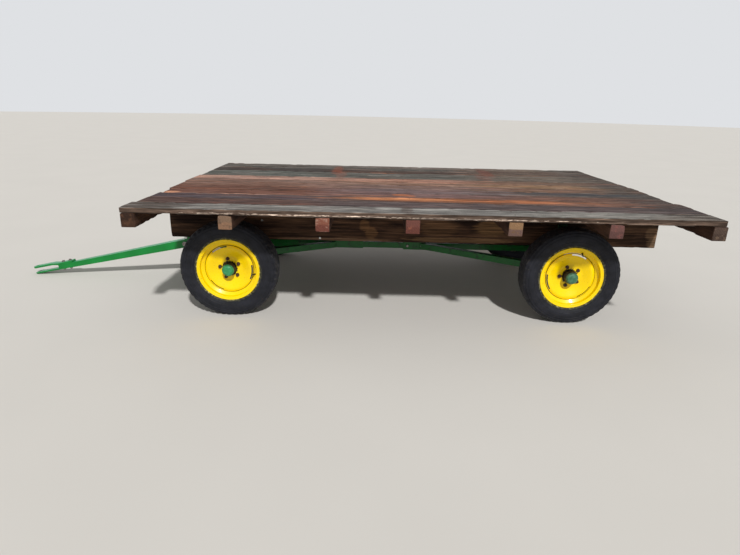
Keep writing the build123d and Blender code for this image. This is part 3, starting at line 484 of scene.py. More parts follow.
def brushed_enamel(name, base, upper, dirt, dirt_from):
    """Oil enamel brushed over old steel: glossy but uneven, with a lighter, bluer green laid on where it faces
    up as a painted sky reflection, with dirt in patches and a few rusty chips. dirt_from is where in the noise
    the dirt begins."""
    material, tree, where = new_material(name)
    place = where.outputs["Object"]
    facing = add(tree, "SeparateXYZ", {0: where.outputs["Normal"]})
    fade = add(tree, "TexNoise", {"Vector": place, "Scale": per_metre(150), "Detail": 3})
    grime = add(tree, "TexNoise", {"Vector": place, "Scale": per_metre(38), "Detail": 5, "Roughness": 0.65})
    chips = add(tree, "TexNoise", {"Vector": place, "Scale": per_metre(9), "Detail": 4})
    strokes = add(tree, "Mapping", {"Vector": place, "Scale": per_metre(60, 4, 4)})
    strokes = add(tree, "TexNoise", {"Vector": strokes, "Scale": 1, "Detail": 2})
    colour = shaded(tree, base, fade, (0.3, 0.7), (0.85, 1.15))
    # Painted sky reflection: a lighter, bluer green where the surface faces up
    colour = laid_over(tree, colour, upper, facing.outputs["Z"], 0.35, 0.95, 0.8)
    colour = laid_over(tree, colour, dirt, grime, dirt_from, dirt_from + 0.2, 0.7)
    chipped = add(tree, "MapRange", {"Value": chips, "From Min": 0.740, "From Max": 0.760})
    colour = add(tree, "Mix", {0: chipped, 6: colour, 7: "#4a2f22"}, data_type="RGBA")
    relief = add(tree, "Math", {0: strokes, 1: 0.4}, operation="MULTIPLY")
    relief = add(tree, "Math", {0: relief, 1: chipped}, operation="SUBTRACT")
    return finish(material, colour, (relief, 0.35, 0.6), (grime, (0.3, 0.75), (0.26, 0.5)),
                  {**ENAMEL, "Coat Roughness": 0.12})


def rim_enamel():
    """Fresh yellow machinery enamel sprayed on pressed steel: smooth and glossy, darker close round the hub.
    The well behind the disc and the walls of its slots are near black, painted shade."""
    material, tree, where = new_material("yellow_rim_enamel")
    place = where.outputs["Object"]
    facing = add(tree, "SeparateXYZ", {0: where.outputs["Normal"]})
    wheel, radius = from_axle(tree)
    tone = add(tree, "TexNoise", {"Vector": place, "Scale": per_metre(110), "Detail": 2})
    grime = add(tree, "TexNoise", {"Vector": place, "Scale": per_metre(13), "Detail": 5, "Roughness": 0.6})
    peel = add(tree, "TexNoise", {"Vector": place, "Scale": per_metre(5), "Detail": 1})
    paint = bpy.context.scene.haywagon_wheels.rim_colour[:]
    colour = shaded(tree, paint, tone, (0.3, 0.7), (0.93, 1.04))
    # Darker in patches close round the hub
    near_hub = add(tree, "MapRange", {
        "Value": radius, "From Min": 46 * MM, "From Max": 62 * MM, "To Min": 0.42, "To Max": 0.0})
    dirt = add(tree, "Math", {0: near_hub, 1: grime}, operation="ADD")
    colour = laid_over(tree, colour, "#33270f", dirt, 0.62, 0.82)
    # The seam between the disc's edge and the rolled rim
    seam = add(tree, "Math", {0: radius, 1: 171.5 * MM, 2: 2.5 * MM}, operation="COMPARE")
    seam = add(tree, "Math", {0: seam, 1: 0.8}, operation="MULTIPLY")
    colour = add(tree, "Mix", {0: seam, 6: colour, 7: "#4a3a08"}, data_type="RGBA")

    # Painted shade: near black on the well behind the disc, and on the walls of its slots, which don't face
    # outboard as it does
    deep = add(tree, "MapRange", {
        "Value": wheel.outputs["Y"], "From Min": 31 * MM, "From Max": 34 * MM, "To Min": 1.0, "To Max": 0.0})
    well = add(tree, "MapRange", {"Value": radius, "From Min": 150 * MM, "From Max": 162 * MM})
    well = add(tree, "Math", {0: deep, 1: well}, operation="MULTIPLY")
    walls = add(tree, "Math", {0: facing.outputs["Y"]}, operation="ABSOLUTE")
    walls = add(tree, "Math", {0: walls, 1: 0.6}, operation="LESS_THAN")
    slots = add(tree, "Math", {0: radius, 1: 163 * MM, 2: 8 * MM}, operation="COMPARE")
    slots = add(tree, "Math", {0: slots, 1: walls}, operation="MULTIPLY")
    painted_shade_in_well_and_slots = add(tree, "Math", {0: well, 1: slots}, operation="MAXIMUM")
    colour = add(tree, "Mix", {0: painted_shade_in_well_and_slots, 6: colour, 7: "#120e0a"}, data_type="RGBA")
    return finish(material, colour, (peel, 0.12, 0.3), (grime, (0.3, 0.75), (0.22, 0.42)),
                  {**ENAMEL, "Coat Roughness": 0.08})


def tyre_rubber():
    """Old carbon-black rubber: bluish charcoal with a slight shine, greyed by dust on the tread, with a
    ragged mist of yellow overspray beside the rim."""
    material, tree, where = new_material("aged_tyre_rubber")
    place = where.outputs["Object"]
    radius = from_axle(tree)[1]
    bloom = add(tree, "TexNoise", {"Vector": place, "Scale": per_metre(70), "Detail": 5, "Roughness": 0.6})
    fine = add(tree, "TexNoise", {"Vector": place, "Scale": per_metre(15), "Detail": 4, "Roughness": 0.6})
    grit = add(tree, "TexNoise", {"Vector": place, "Scale": per_metre(3), "Detail": 2})
    colour = laid_over(tree, "#15161b", "#25262d", bloom, 0.35, 0.68, easing="LINEAR")
    # Dust clings to the tread
    outer = add(tree, "MapRange", {
        "Value": radius, "From Min": 312 * MM, "From Max": 340 * MM, "To Max": 0.22})
    dust = add(tree, "Math", {0: fine, 1: outer}, operation="ADD")
    colour = laid_over(tree, colour, "#5a5652", dust, 0.60, 0.95, 0.45)
    # Overspray: thick at the rim's flange, thin and greenish further out
    mist = add(tree, "MapRange", {
        "Value": radius, "From Min": 221 * MM, "From Max": 244 * MM, "To Min": 0.55, "To Max": 0.0})
    mist = add(tree, "Math", {0: mist, 1: fine}, operation="ADD")
    colour = laid_over(tree, colour, "#6c6a48", mist, 0.66, 0.95, 0.5)
    colour = laid_over(tree, colour, "#c9c48a", mist, 0.98, 1.10, 0.9)
    return finish(material, colour, (grit, 0.25, 0.5), (fine, (0.3, 0.7), (0.50, 0.7)),
                  {"IOR": 1.52, "Specular IOR Level": 0.2})


def mottled(name, dark, pale, spot, shine):
    """A finish of two tones in spots: greasy castings, near black and shiny where the grease is thick, and
    hand-painted pressed caps, satin green and greyed by handling. spot is the spots' size in mm, and shine is
    the roughness of the dark ones and of the pale ones."""
    material, tree, where = new_material(name)
    spots = add(tree, "TexNoise", {
        "Vector": where.outputs["Object"], "Scale": per_metre(spot), "Detail": 5, "Roughness": 0.62})
    colour = laid_over(tree, dark, pale, spots, 0.38, 0.70)
    return finish(material, colour, (spots, 0.35, 0.6), (spots, (0.3, 0.7), shine), {"IOR": 1.5})


def worn_steel(name, bright, rust, rust_from):
    """Bare steel fasteners: greyish metal, more or less rusted over. rust_from is where in the noise the rust
    begins."""
    material, tree, where = new_material(name)
    spots = add(tree, "TexNoise", {
        "Vector": where.outputs["Object"], "Scale": per_metre(7), "Detail": 5, "Roughness": 0.65})
    rusted = add(tree, "MapRange", {"Value": spots, "From Min": rust_from, "From Max": rust_from + 0.12},
                 interpolation_type="SMOOTHSTEP")
    colour = add(tree, "Mix", {0: rusted, 6: bright, 7: rust}, data_type="RGBA")
    metal = add(tree, "MapRange", {"Value": rusted, "To Min": 0.85, "To Max": 0.0})
    return finish(material, colour, (spots, 0.4, 0.4), (rusted, (0, 1), (0.38, 0.8)), {"Metallic": metal})


def floor_paint():
    """Matt floor paint of a studio: one pale colour, a little uneven over about a metre."""
    material, tree, where = new_material("matt_studio_floor")
    mottle = add(tree, "TexNoise", {
        "Vector": where.outputs["Object"], "Scale": per_metre(900), "Detail": 2})
    paint = bpy.context.scene.haywagon_stage.floor_colour[:]
    colour = shaded(tree, paint, mottle, (0, 1), (0.97, 1.03))
    surface = add(tree, "BsdfPrincipled", {"Base Color": colour, "Roughness": 0.9})
    add(tree, "OutputMaterial", {"Surface": surface})
    return material


def studio_world(sky_strength):
    """White light from all round, and a pale backdrop for what the camera, gloss and glass see of it."""
    world = bpy.data.worlds.new("pale_studio")
    world.use_nodes = True
    tree = world.node_tree
    tree.nodes.clear()
    even = add(tree, "Background", {"Color": "#ffffff", "Strength": sky_strength})
    seen = add(tree, "Background", {"Color": "#dfe1e4", "Strength": 1.0})
    ray = add(tree, "LightPath").outputs
    seeing = add(tree, "Math", {0: ray["Is Camera Ray"], 1: ray["Is Glossy Ray"]}, operation="MAXIMUM")
    seeing = add(tree, "Math", {0: seeing, 1: ray["Is Transmission Ray"]}, operation="MAXIMUM")
    chosen = add(tree, "MixShader", {0: seeing, 1: even, 2: seen})
    add(tree, "OutputWorld", {"Surface": chosen})
    return world


MATERIAL_MAKERS = {
    "floor": floor_paint,
    "boards": weathered_boards,
    "cross_sills": cross_sill_timber,
    "long_sills": long_sill_timber,
    "green": lambda: brushed_enamel(
        "green_machinery_enamel", bpy.context.scene.haywagon_deck.gear_colour[:], "#1f9a62", "#1c4a2a", 0.60),
    # Darker copies of the gear's green, as painted shade for the pieces under the deck, with their dirt
    "green_painted_shade": lambda: brushed_enamel(
        "dirty_green_enamel_painted_shade", linear("#0a5f22")[:3], "#1c6a3c", "#1d3421", 0.50),
    "green_deep_painted_shade": lambda: brushed_enamel(
        "grimy_green_enamel_deep_painted_shade", linear("#0a2f17")[:3], "#18301f", "#171410", 0.42),
    "rim": rim_enamel,
    "tyre": tyre_rubber,
    "iron": lambda: mottled("greasy_cast_iron", "#17130f", "#3a3028", 12, (0.3, 0.7)),
    "front_cap": lambda: mottled("green_cap_enamel", "#25804a", "#3f9663", 18, (0.3, 0.55)),
    "rear_cap": lambda: mottled("dull_green_cap_enamel", "#305f45", "#4c7d61", 18, (0.35, 0.6)),
    "steel": lambda: worn_steel("worn_bare_steel", "#8d8a86", "#5a3a26", 0.50),
    "rusty": lambda: worn_steel("rusted_steel", "#6b625a", "#3d2318", 0.34),
    "zinc": lambda: worn_steel("galvanised_steel", "#c4c5c3", "#8a7866", 0.62),
}
MATERIALS = {}


def material_for(key):
    """The material of that key, made the first time that a piece asks for it."""
    made = MATERIALS.get(key)
    if made is None:
        made = MATERIAL_MAKERS[key]()
        MATERIALS[key] = made
    return made


# Shapes

def cad_copy(node):
    """A bmesh copy of a CAD node, with its loose triangles joined at their corners."""
    bm = bmesh.new()
    bm.from_mesh(frame["nodes"][node].data)
    bmesh.ops.remove_doubles(bm, verts=bm.verts, dist=0.02 * MM)
    return bm


def solids(node, count):
    """The (lowest, highest) corners of a CAD node's separate solids, left to right and front first."""
    bm = cad_copy(node)
    left = set(bm.verts)
    boxes = []
    while left:
        group = {left.pop()}
        edge_of_group = list(group)
        while edge_of_group:
            vert = edge_of_group.pop()
            fresh = {edge.other_vert(vert) for edge in vert.link_edges} & left
            left -= fresh
            group |= fresh
            edge_of_group.extend(fresh)
        low = Vector([min(vert.co[axis] for vert in group) for axis in range(3)])
        high = Vector([max(vert.co[axis] for vert in group) for axis in range(3)])
        boxes.append((low, high))
    bm.free()
    if len(boxes) != count:
        raise RuntimeError(f"{node} has {len(boxes)} solids and not {count}")
    return sorted(boxes, key=lambda box: (round(box[0].y, 3), round(box[0].x, 3)))


def on_surface(node, start, way):
    """Where a line from start (in mm) along way first meets a CAD node."""
    bm = cad_copy(node)
    place = BVHTree.FromBMesh(bm).ray_cast(Vector(start) * MM, Vector(way))[0]
    bm.free()
    if place is None:
        raise RuntimeError(f"nothing of {node} lies that way from {start}")
    return place


def new_piece(name, bm, material, body, slot, *nodes, sharp=30, wheel=None):
    """Make the object of a finished bmesh and tie it to its CAD body. A wheel's piece is put in its place."""
    if not bm.faces:
        raise RuntimeError(f"{name} has no faces")
    mesh = bpy.data.meshes.new(name)
    bm.to_mesh(mesh)
    bm.free()
    mesh.shade_smooth()
    mesh.set_sharp_from_angle(angle=radians(sharp))
    if wheel:
        places = mesh.attributes.new("wheel_place", "FLOAT_VECTOR", "POINT")
        for vert, place in zip(mesh.vertices, places.data):
            place.vector = vert.co
        mesh.transform(wheel_matrix(wheel))
    mesh.materials.append(material)
    piece = bpy.data.objects.new(name, mesh)
    bpy.context.scene.collection.objects.link(piece)
    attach(piece, body)
    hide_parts(*nodes)
    return piece


def joined(parts):
    """One bmesh that holds all of the parts."""
    whole = bmesh.new()
    for part in parts:
        mesh = bpy.data.meshes.new("part")
        part.to_mesh(mesh)
        part.free()
        whole.from_mesh(mesh)
        bpy.data.meshes.remove(mesh)
    return whole


def timber(low, high, edge, step, uneven, chips, across_cuts=4):
    """A sawn board or beam in the box from low to high, its edges worn, its faces and ends a little uneven
    but never proud of the box."""
    size = high - low
    middle = (low + high) / 2
    long_axis = max(range(3), key=lambda axis: size[axis])
    bm = bmesh.new()
    bmesh.ops.create_cube(bm, size=1)
    bmesh.ops.scale(bm, vec=size, verts=bm.verts)
    bmesh.ops.translate(bm, vec=middle, verts=bm.verts)
    bmesh.ops.bevel(bm, geom=bm.edges[:], offset=edge, offset_type="OFFSET", affect="EDGES", segments=3,
                    profile=0.5, material=-1, clamp_overlap=True)
    short_axes = [axis for axis in range(3) if axis != long_axis]
    cuts = {long_axis: round(size[long_axis] / step)}
    cuts.update({axis: across_cuts for axis in short_axes if size[axis] > 60 * MM})
    for axis, count in sorted(cuts.items(), key=lambda item: item[1]):
        along = [e for e in bm.edges if abs(e.verts[0].co[axis] - e.verts[1].co[axis]) > size[axis] / 2]
        bmesh.ops.subdivide_edges(bm, edges=along, cuts=count, use_grid_fill=True)
    for vert in bm.verts:
        away = [(vert.co[axis] - middle[axis]) / size[axis] * 2 for axis in range(3)]
        corner = min(abs(away[short_axes[0]]), abs(away[short_axes[1]]))
        slow = 0.5 + 0.5 * noise.noise(vert.co * SLOW_WANDER)
        quick = 0.5 + 0.5 * noise.noise(vert.co * QUICK_WANDER)
        # The edges' noise is read elsewhere, so that it doesn't follow the faces'
        chip = max(0.0, noise.noise(vert.co * EDGE_CHIPS + Vector((7, 3, 5))) - 0.12) if corner > 0.8 else 0.0
        for axis in short_axes:
            inward = uneven * (0.7 * slow + 0.3 * quick) + chips * chip
            vert.co[axis] -= away[axis] * inward
        vert.co[long_axis] -= away[long_axis] * uneven * quick * (abs(away[long_axis]) > 0.95)
    return bm


def rounded_copy(node, width):
    """A copy of a steel CAD node with its sharp edges rounded off over width in mm."""
    bm = cad_copy(node)
    bmesh.ops.dissolve_limit(bm, angle_limit=radians(1), verts=bm.verts, edges=bm.edges)
    edges = [e for e in bm.edges if len(e.link_faces) == 2 and e.calc_face_angle() > radians(35)]
    bmesh.ops.bevel(bm, geom=edges, offset=width * MM, offset_type="OFFSET", affect="EDGES",
                    segments=3 if width > 3 else 2, profile=0.5, material=-1, clamp_overlap=True)
    return bm


def turned(outline, steps, closed=True, corners=()):
    """A shape spun about the Y axis from an outline of (along the axis, radius) points in mm.
    corners lists (how far a corner is rounded off in mm, the numbers of its points)."""
    bm = bmesh.new()
    verts = [bm.verts.new((0, along * MM, radius * MM)) for along, radius in outline]
    pairs = list(zip(verts, verts[1:]))
    if closed:
        pairs.append((verts[-1], verts[0]))
    for start, end in pairs:
        bm.edges.new((start, end))
    for offset, numbers in corners:
        bmesh.ops.bevel(bm, geom=[verts[number] for number in numbers], offset=offset * MM,
                        offset_type="OFFSET", affect="VERTICES", segments=3, profile=0.5, material=-1)
    bmesh.ops.spin(bm, geom=bm.verts[:] + bm.edges[:], cent=(0, 0, 0), axis=(0, 1, 0), angle=2 * pi,
                   steps=steps, use_merge=True)
    bmesh.ops.remove_doubles(bm, verts=bm.verts, dist=0.001 * MM)
    bmesh.ops.recalc_face_normals(bm, faces=bm.faces)
    return bm


def aimed(bm, place, way):
    """Move a shape that was made along +Z from the origin so that it starts at place and points along way."""
    turn = Vector(way).to_track_quat("Z", "Y").to_matrix().to_4x4()
    bmesh.ops.transform(bm, matrix=Matrix.Translation(place) @ turn, verts=bm.verts)
    return bm


def hex_bolt(place, way, across, height, washer, turn):
    """A chamfered hexagon head, on a washer if that isn't 0, at place and pointing along way. Sizes are in
    mm, and turn is in degrees."""
    radius = across / sqrt(3) * MM
    head = bmesh.new()
    bmesh.ops.create_cone(head, cap_ends=True, segments=6, radius1=radius, radius2=radius, depth=height * MM)
    bmesh.ops.rotate(head, matrix=Matrix.Rotation(radians(turn), 3, "Z"), verts=head.verts)
    base = 3 * MM if washer else 0
    bmesh.ops.translate(head, vec=(0, 0, base + height * MM / 2), verts=head.verts)
    bmesh.ops.bevel(head, geom=head.edges[:], offset=0.9 * MM, offset_type="OFFSET", affect="EDGES",
                    segments=1, profile=0.5, material=-1)
    parts = [head]
    if washer:
        disc = bmesh.new()
        radius = washer / 2 * MM
        bmesh.ops.create_cone(disc, cap_ends=True, segments=24, radius1=radius, radius2=radius, depth=base)
        bmesh.ops.translate(disc, vec=(0, 0, base / 2), verts=disc.verts)
        parts.append(disc)
    return aimed(joined(parts), place, way)


def nail_head(spot, radius):
    """A nail's head, narrower at its top, driven almost level with the board at spot."""
    head = bmesh.new()
    bmesh.ops.create_cone(head, cap_ends=True, segments=10, radius1=radius, radius2=radius * 0.75,
                          depth=NAIL_THICK * MM)
    bmesh.ops.translate(head, vec=spot - Vector((0, 0, NAIL_SUNK * MM)), verts=head.verts)
    return head


def wheel_matrix(wheel):
    """From a wheel's own coordinates (+Y outboard, +Z up before it is turned) to its place on the wagon."""
    low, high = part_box(f"tyre_{wheel}")
    middle = (low + high) / 2
    side = 1 if middle.y > 0 else -1
    turn = radians(WHEEL_TURNS[wheel])
    outboard = Vector((0, side, 0))
    up = Vector((side * sin(turn), 0, cos(turn)))
    ahead = outboard.cross(up)
    return Matrix.Translation(middle) @ Matrix((ahead, outboard, up)).transposed().to_4x4()


def on_wheel(angle, radius, along):
    """A place in a wheel's own coordinates: degrees from its top, radius and distance outboard in mm."""
    return Vector((sin(radians(angle)) * radius, along, cos(radians(angle)) * radius)) * MM


def sidewall():
    """Outline of a tyre's outboard sidewall, from the bead out: an arc over the straight line from bead to
    tread, with its rings."""
    middle = (BEAD_TOP + TREAD_EDGE) / 2
    half_chord = (TREAD_EDGE - BEAD_TOP) / 2
    rise = TYRE_HALF - 2 - (BEAD_HALF + TREAD_HALF) / 2
    arc = (half_chord ** 2 + rise ** 2) / (2 * rise)
    line = [(BEAD_HALF, BEAD_BASE), (BEAD_HALF, BEAD_TOP)]
    radius = BEAD_TOP + 2.0
    while radius < TREAD_EDGE - 4:
        chord = BEAD_HALF + (TREAD_HALF - BEAD_HALF) * (radius - BEAD_TOP) / (TREAD_EDGE - BEAD_TOP)
        bulge = sqrt(arc ** 2 - (radius - middle) ** 2) - (arc - rise)
        relief = sum(height * max(0.0, 1 - ((radius - ring) / half) ** 2)
                     for ring, half, height in SIDEWALL_RINGS)
        line.append((min(chord + bulge + relief, TYRE_HALF), radius))
        radius += 1.5
    return line


def tread(depth):
    """Outline of the outboard half of a tyre's tread, from edge to middle, with grooves depth mm deep."""
    line = [(TREAD_HALF + 1.5, TREAD_EDGE - 2.5), (TREAD_HALF - 2.5, TREAD_EDGE + 0.3)]
    for groove, half, share in GROOVES:
        crown = TREAD_CROWN - (TREAD_CROWN - TREAD_EDGE) * (groove / TREAD_HALF) ** 2
        floor = crown - depth * share
        line += [(groove + half, crown), (groove + half - 1.5, floor), (groove - half + 1.5, floor),
                 (groove - half, crown)]
    return line


def cut_tread(bm, blocks, depth):
    """Press notches depth mm deep between the blocks of a tyre's shoulders, and make its grooves zigzag."""
    steps = blocks * len(ZIGZAG)
    shoulder = TREAD_HALF - 9
    notch_foot = (TREAD_EDGE - 20) * MM
    groove_foot = (TREAD_EDGE - 9) * MM
    for vert in bm.verts:
        radius = hypot(vert.co.x, vert.co.z)
        step = round(atan2(vert.co.x, vert.co.z) / (2 * pi) * steps) % len(ZIGZAG)
        out = abs(vert.co.y) / MM
        if out > shoulder and radius > notch_foot and step in (0, 1):
            inward = 1 - depth * MM / radius
            vert.co.x *= inward
            vert.co.z *= inward
        elif out < shoulder and radius > groove_foot:
            vert.co.y += ZIGZAG[step] * MM * (1 if vert.co.y > 0 else -1)


def rim_barrel(steps):
    """The rolled part of a rim, the same on both sides."""
    # Its outboard half, from the well out over the flange's lip and back along the air side
    tyre_side = [(31, 178), (43.5, 203), (67.5, 203), (67.6, 214), (70.2, 220.4)]
    air_side = [(75, 220.2), (75, 216.6), (72.4, 212), (72.4, 197.6), (46, 197.6), (33.5, 173)]
    half = tyre_side + air_side
    outline = half[::-1] + [(-along, radius) for along, radius in half]
    # How far each corner is rounded, with its number in the half, which stands reversed and then mirrored
    count = len(half)
    corners = [
        (offset, [count - 1 - number for number in numbers] + [count + number for number in numbers])
        for offset, numbers in ((2.0, (5, 6)), (4.0, (8,)), (2.5, (0, 1, 2, 7, 9, 10)))]
    return turned(outline, steps, corners=corners)


def slotted_disc():
    """The disc of a rim, dished sheet with a ring of slots near its edge."""
    line = [(20, 46), (20, 86), (23, 99), (33, 124), (41, 142), (43, 149), (43, 153), (42.6, SLOT_INNER),
            (38.5, SLOT_OUTER), (34, 172.6)]
    disc = turned(line, DISC_STEPS, closed=False, corners=[(3.5, [1, 2, 4, 5])])
    apart = 360 / SLOT_COUNT
    cut = []
    for face in disc.faces:
        middle = face.calc_center_median()
        radius = sqrt(middle.x ** 2 + middle.z ** 2) / MM
        angle = degrees(Vector((0, 1)).angle_signed(Vector((middle.x, middle.z)))) % apart
        if SLOT_INNER < radius < SLOT_OUTER and abs(angle - apart / 2) < SLOT_HALF_ANGLE:
            cut.append(face)
    bmesh.ops.delete(disc, geom=cut, context="FACES")
    bmesh.ops.recalc_face_normals(disc, faces=disc.faces)
    outboard = 1 if sum(face.normal.y for face in disc.faces) > 0 else -1
    bmesh.ops.solidify(disc, geom=disc.faces[:], thickness=outboard * DISC_THICK * MM)
    return disc


def valve_stem():
    """A valve stem with its cap, leaning out of the rim's well."""
    line = [(0, 0), (0, 6), (4, 6), (8, 4.2), (26, 3.8), (27, 4.6), (35, 4.4), (36, 0)]
    valve = turned(line, 16, closed=False)
    for axis, angle in (("X", VALVE_LEAN), ("Y", VALVE_ANGLE)):
        bmesh.ops.rotate(valve, matrix=Matrix.Rotation(radians(angle), 3, axis), verts=valve.verts)
    place = on_wheel(VALVE_ANGLE, VALVE_RADIUS, VALVE_ALONG)
    bmesh.ops.translate(valve, vec=place, verts=valve.verts)
    return valve


# Settings that a user would change

class HayWagonDeckSettings(bpy.types.PropertyGroup):
    """How worn the deck's timber is, and the paint of the gear under it"""
    board_edge: bpy.props.FloatProperty(
        name="Board edge", description="How far the boards' edges are worn off",
        default=0.004, unit="LENGTH", subtype="DISTANCE")
    board_uneven: bpy.props.FloatProperty(
        name="Board unevenness", description="How far a board's faces wander inward",
        default=0.0022, unit="LENGTH", subtype="DISTANCE")
    board_chips: bpy.props.FloatProperty(
        name="Edge chips", description="How deep the chips along a board's edges go",
        default=0.010, unit="LENGTH", subtype="DISTANCE")
    sill_edge: bpy.props.FloatProperty(
        name="Sill edge", description="How far the sills' edges are worn off",
        default=0.005, unit="LENGTH", subtype="DISTANCE")
    nail_radius: bpy.props.FloatProperty(
        name="Nail head radius", description="Radius of the nail heads in the deck",
        default=0.005, unit="LENGTH", subtype="DISTANCE")
    gear_colour: bpy.props.FloatVectorProperty(
        name="Gear colour", description="Colour of the enamel on the running gear",
        default=linear("#0b7d33")[:3], subtype="COLOR", min=0, max=1)


class HayWagonWheelSettings(bpy.types.PropertyGroup):
    """What the wheels carry"""
    rim_colour: bpy.props.FloatVectorProperty(
        name="Rim colour", description="Colour of the enamel on the rims",
        default=linear("#ffd800")[:3], subtype="COLOR", min=0, max=1)
    wheel_steps: bpy.props.IntProperty(
        name="Wheel steps", description="Steps that the rims and hubs are spun in", default=120, min=24)
    tread_blocks: bpy.props.IntProperty(
        name="Tread blocks", description="Blocks round each shoulder of the tread", default=48, min=12)
    groove_depth: bpy.props.FloatProperty(
        name="Groove depth", description="Depth of the grooves round the tread",
        default=0.008, unit="LENGTH", subtype="DISTANCE")
    lug_count: bpy.props.IntProperty(
        name="Lug bolts", description="Bolts that hold each wheel on its hub", default=5, min=3)


class HayWagonStageSettings(bpy.types.PropertyGroup):
    """The floor, the lights and the camera"""
    floor_colour: bpy.props.FloatVectorProperty(
        name="Floor colour", description="Colour of the studio floor",
        default=linear("#d6d2cb")[:3], subtype="COLOR", min=0, max=1)
    key_strength: bpy.props.FloatProperty(
        name="Key light", description="Strength of the soft main light", default=2.9, min=0)
    sky_strength: bpy.props.FloatProperty(
        name="Sky light", description="Strength of the even light from all round", default=0.36, min=0)
    lens: bpy.props.FloatProperty(
        name="Lens", description="Focal length on a 36 mm wide sensor", default=25.07, min=1)


# Operators

class HAYWAGON_OT_stage(bpy.types.Operator):
    """Make the floor, the soft lights and the camera"""
    bl_idname = "haywagon.stage"
    bl_label = "Stage"

    def execute(self, context):
        settings = context.scene.haywagon_stage
        bm = bmesh.new()
        bmesh.ops.create_circle(bm, cap_ends=True, radius=FLOOR_RADIUS, segments=96)
        mesh = bpy.data.meshes.new("studio_floor")
        bm.to_mesh(mesh)
        bm.free()
        mesh.materials.append(material_for("floor"))
        floor = bpy.data.objects.new("studio_floor", mesh)
        context.scene.collection.objects.link(floor)

        context.scene.world = studio_world(settings.sky_strength)
        key = bpy.data.lights.new("key_light", "SUN")
        key.energy = settings.key_strength
        key.angle = radians(KEY_SPREAD_DEG)
        key_object = bpy.data.objects.new("key_light", key)
        key_object.rotation_euler = (radians(90 - KEY_ELEVATION_DEG), 0, radians(KEY_AZIMUTH_DEG))
        context.scene.collection.objects.link(key_object)

        camera = bpy.data.cameras.new("photo_camera")
        camera.lens = settings.lens
        camera.sensor_width = 36
        camera_object = bpy.data.objects.new("photo_camera", camera)
        turns = Matrix.Translation(CAMERA_PLACE)
        for axis, angle in (
                ("Z", CAMERA_YAW_DEG), ("X", CAMERA_PITCH_DEG), ("Y", CAMERA_ROLL_DEG), ("X", 90)):
            turns = turns @ Matrix.Rotation(radians(angle), 4, axis)
        camera_object.matrix_world = turns
        context.scene.collection.objects.link(camera_object)
        context.scene.camera = camera_object
        context.scene.view_settings.view_transform = "Standard"
        return {"FINISHED"}


class HAYWAGON_OT_deck(bpy.types.Operator):
    """Lay the weathered boards and drive their nails"""
    bl_idname = "haywagon.deck"
    bl_label = "Deck boards and nails"

    def execute(self, context):
        settings = context.scene.haywagon_deck
        uneven, chips = settings.board_uneven, settings.board_chips
        boards = solids("deck_planks", len(BOARD_LOOKS))
        for number, (low, high) in enumerate(boards, 1):
            bm = timber(low, high, settings.board_edge, BOARD_STEP, uneven, chips)
            new_piece(f"deck_board_{number:02d}", bm, material_for("boards"), "frame", "deck_boards",
                      "deck_planks")
        noise.seed_set(NAIL_SEED)
        nails = []
        sills = solids("cross_sills", len(SILL_ENDS))
        for low, high in boards:
            for sill_low, sill_high in sills:
                middle = (sill_low.x + sill_high.x) / 2
                for share in NAIL_SHARES:
                    spot = Vector((middle, low.y + share * (high.y - low.y), high.z))
                    stray = noise.noise_vector(spot * NAIL_WANDER)
                    spot += Vector((stray.x * NAIL_STRAY[0], stray.y * NAIL_STRAY[1], 0)) * MM
                    nails.append(nail_head(spot, settings.nail_radius))
        new_piece("deck_nails", joined(nails), material_for("rusty"), "frame", "bare_steel")
        return {"FINISHED"}


class HAYWAGON_OT_sills(bpy.types.Operator):
    """Lay the cross sills and the two long sills"""
    bl_idname = "haywagon.sills"
    bl_label = "Cross sills and long sills"

    def execute(self, context):
        settings = context.scene.haywagon_deck
        uneven, chips = settings.board_uneven, settings.board_chips
        for number, (low, high) in enumerate(cross_sills(), 1):
            bm = timber(low, high, settings.sill_edge, SILL_STEP, uneven, chips, 3)
            new_piece(f"cross_sill_timber_{number}", bm, material_for("cross_sills"), "frame", "sill_timber",
                      "cross_sills")
        for side in ("left", "right"):
            bm = timber(*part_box(f"long_sill_{side}"), settings.sill_edge, SILL_STEP, uneven, chips, 6)
            new_piece(f"long_sill_timber_{side}", bm, material_for("long_sills"), "frame", "sill_timber",
                      f"long_sill_{side}")
        return {"FINISHED"}


# Steel pieces: finish and record slot, then each node with how far its edges are rounded in mm
STEEL_PIECES = [
    # The first two finishes are the gear's green darkened as painted shade under the deck
    ("green_deep_painted_shade", "green_paint", {
        "bolster_front": 4, "bolster_rear": 4, "stakes_front": 2, "stakes_rear": 2}),
    ("green_painted_shade", "green_paint", {
        "axle_front": 4, "axle_rear": 4, "reach_outer": 6, "reach_inner": 4, "reach_clamp": 3,
        "hounds_front": 5, "hounds_rear": 5, "front_nose": 4}),
    ("green", "green_paint", {
        "steering_bracket": 2, "knuckle_left": 2, "knuckle_right": 2, "tie_rod_left": 2, "tie_rod_right": 2,
        "tongue_tube": 7, "hitch_strap_upper": 2, "hitch_strap_lower": 2}),
    ("steel", "bare_steel", {"pivot_pin": 1.5, "hinge_pin": 1.5, "kingpin_left": 1.5, "kingpin_right": 1.5}),
]


class HAYWAGON_OT_gear(bpy.types.Operator):
    """Round off and paint the steel of the running gear, steering and tongue"""
    bl_idname = "haywagon.gear"
    bl_label = "Running gear, steering and tongue"

    def execute(self, context):
        for key, slot, widths in STEEL_PIECES:
            for node, width in widths.items():
                bm = rounded_copy(node, width)
                body = frame["nodes"][node]["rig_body"]
                piece = new_piece(f"{node}_steel", bm, material_for(key), body, slot, node, sharp=40)
                even = piece.modifiers.new("even_faces", "WEIGHTED_NORMAL")
                even.keep_sharp = True
        return {"FINISHED"}


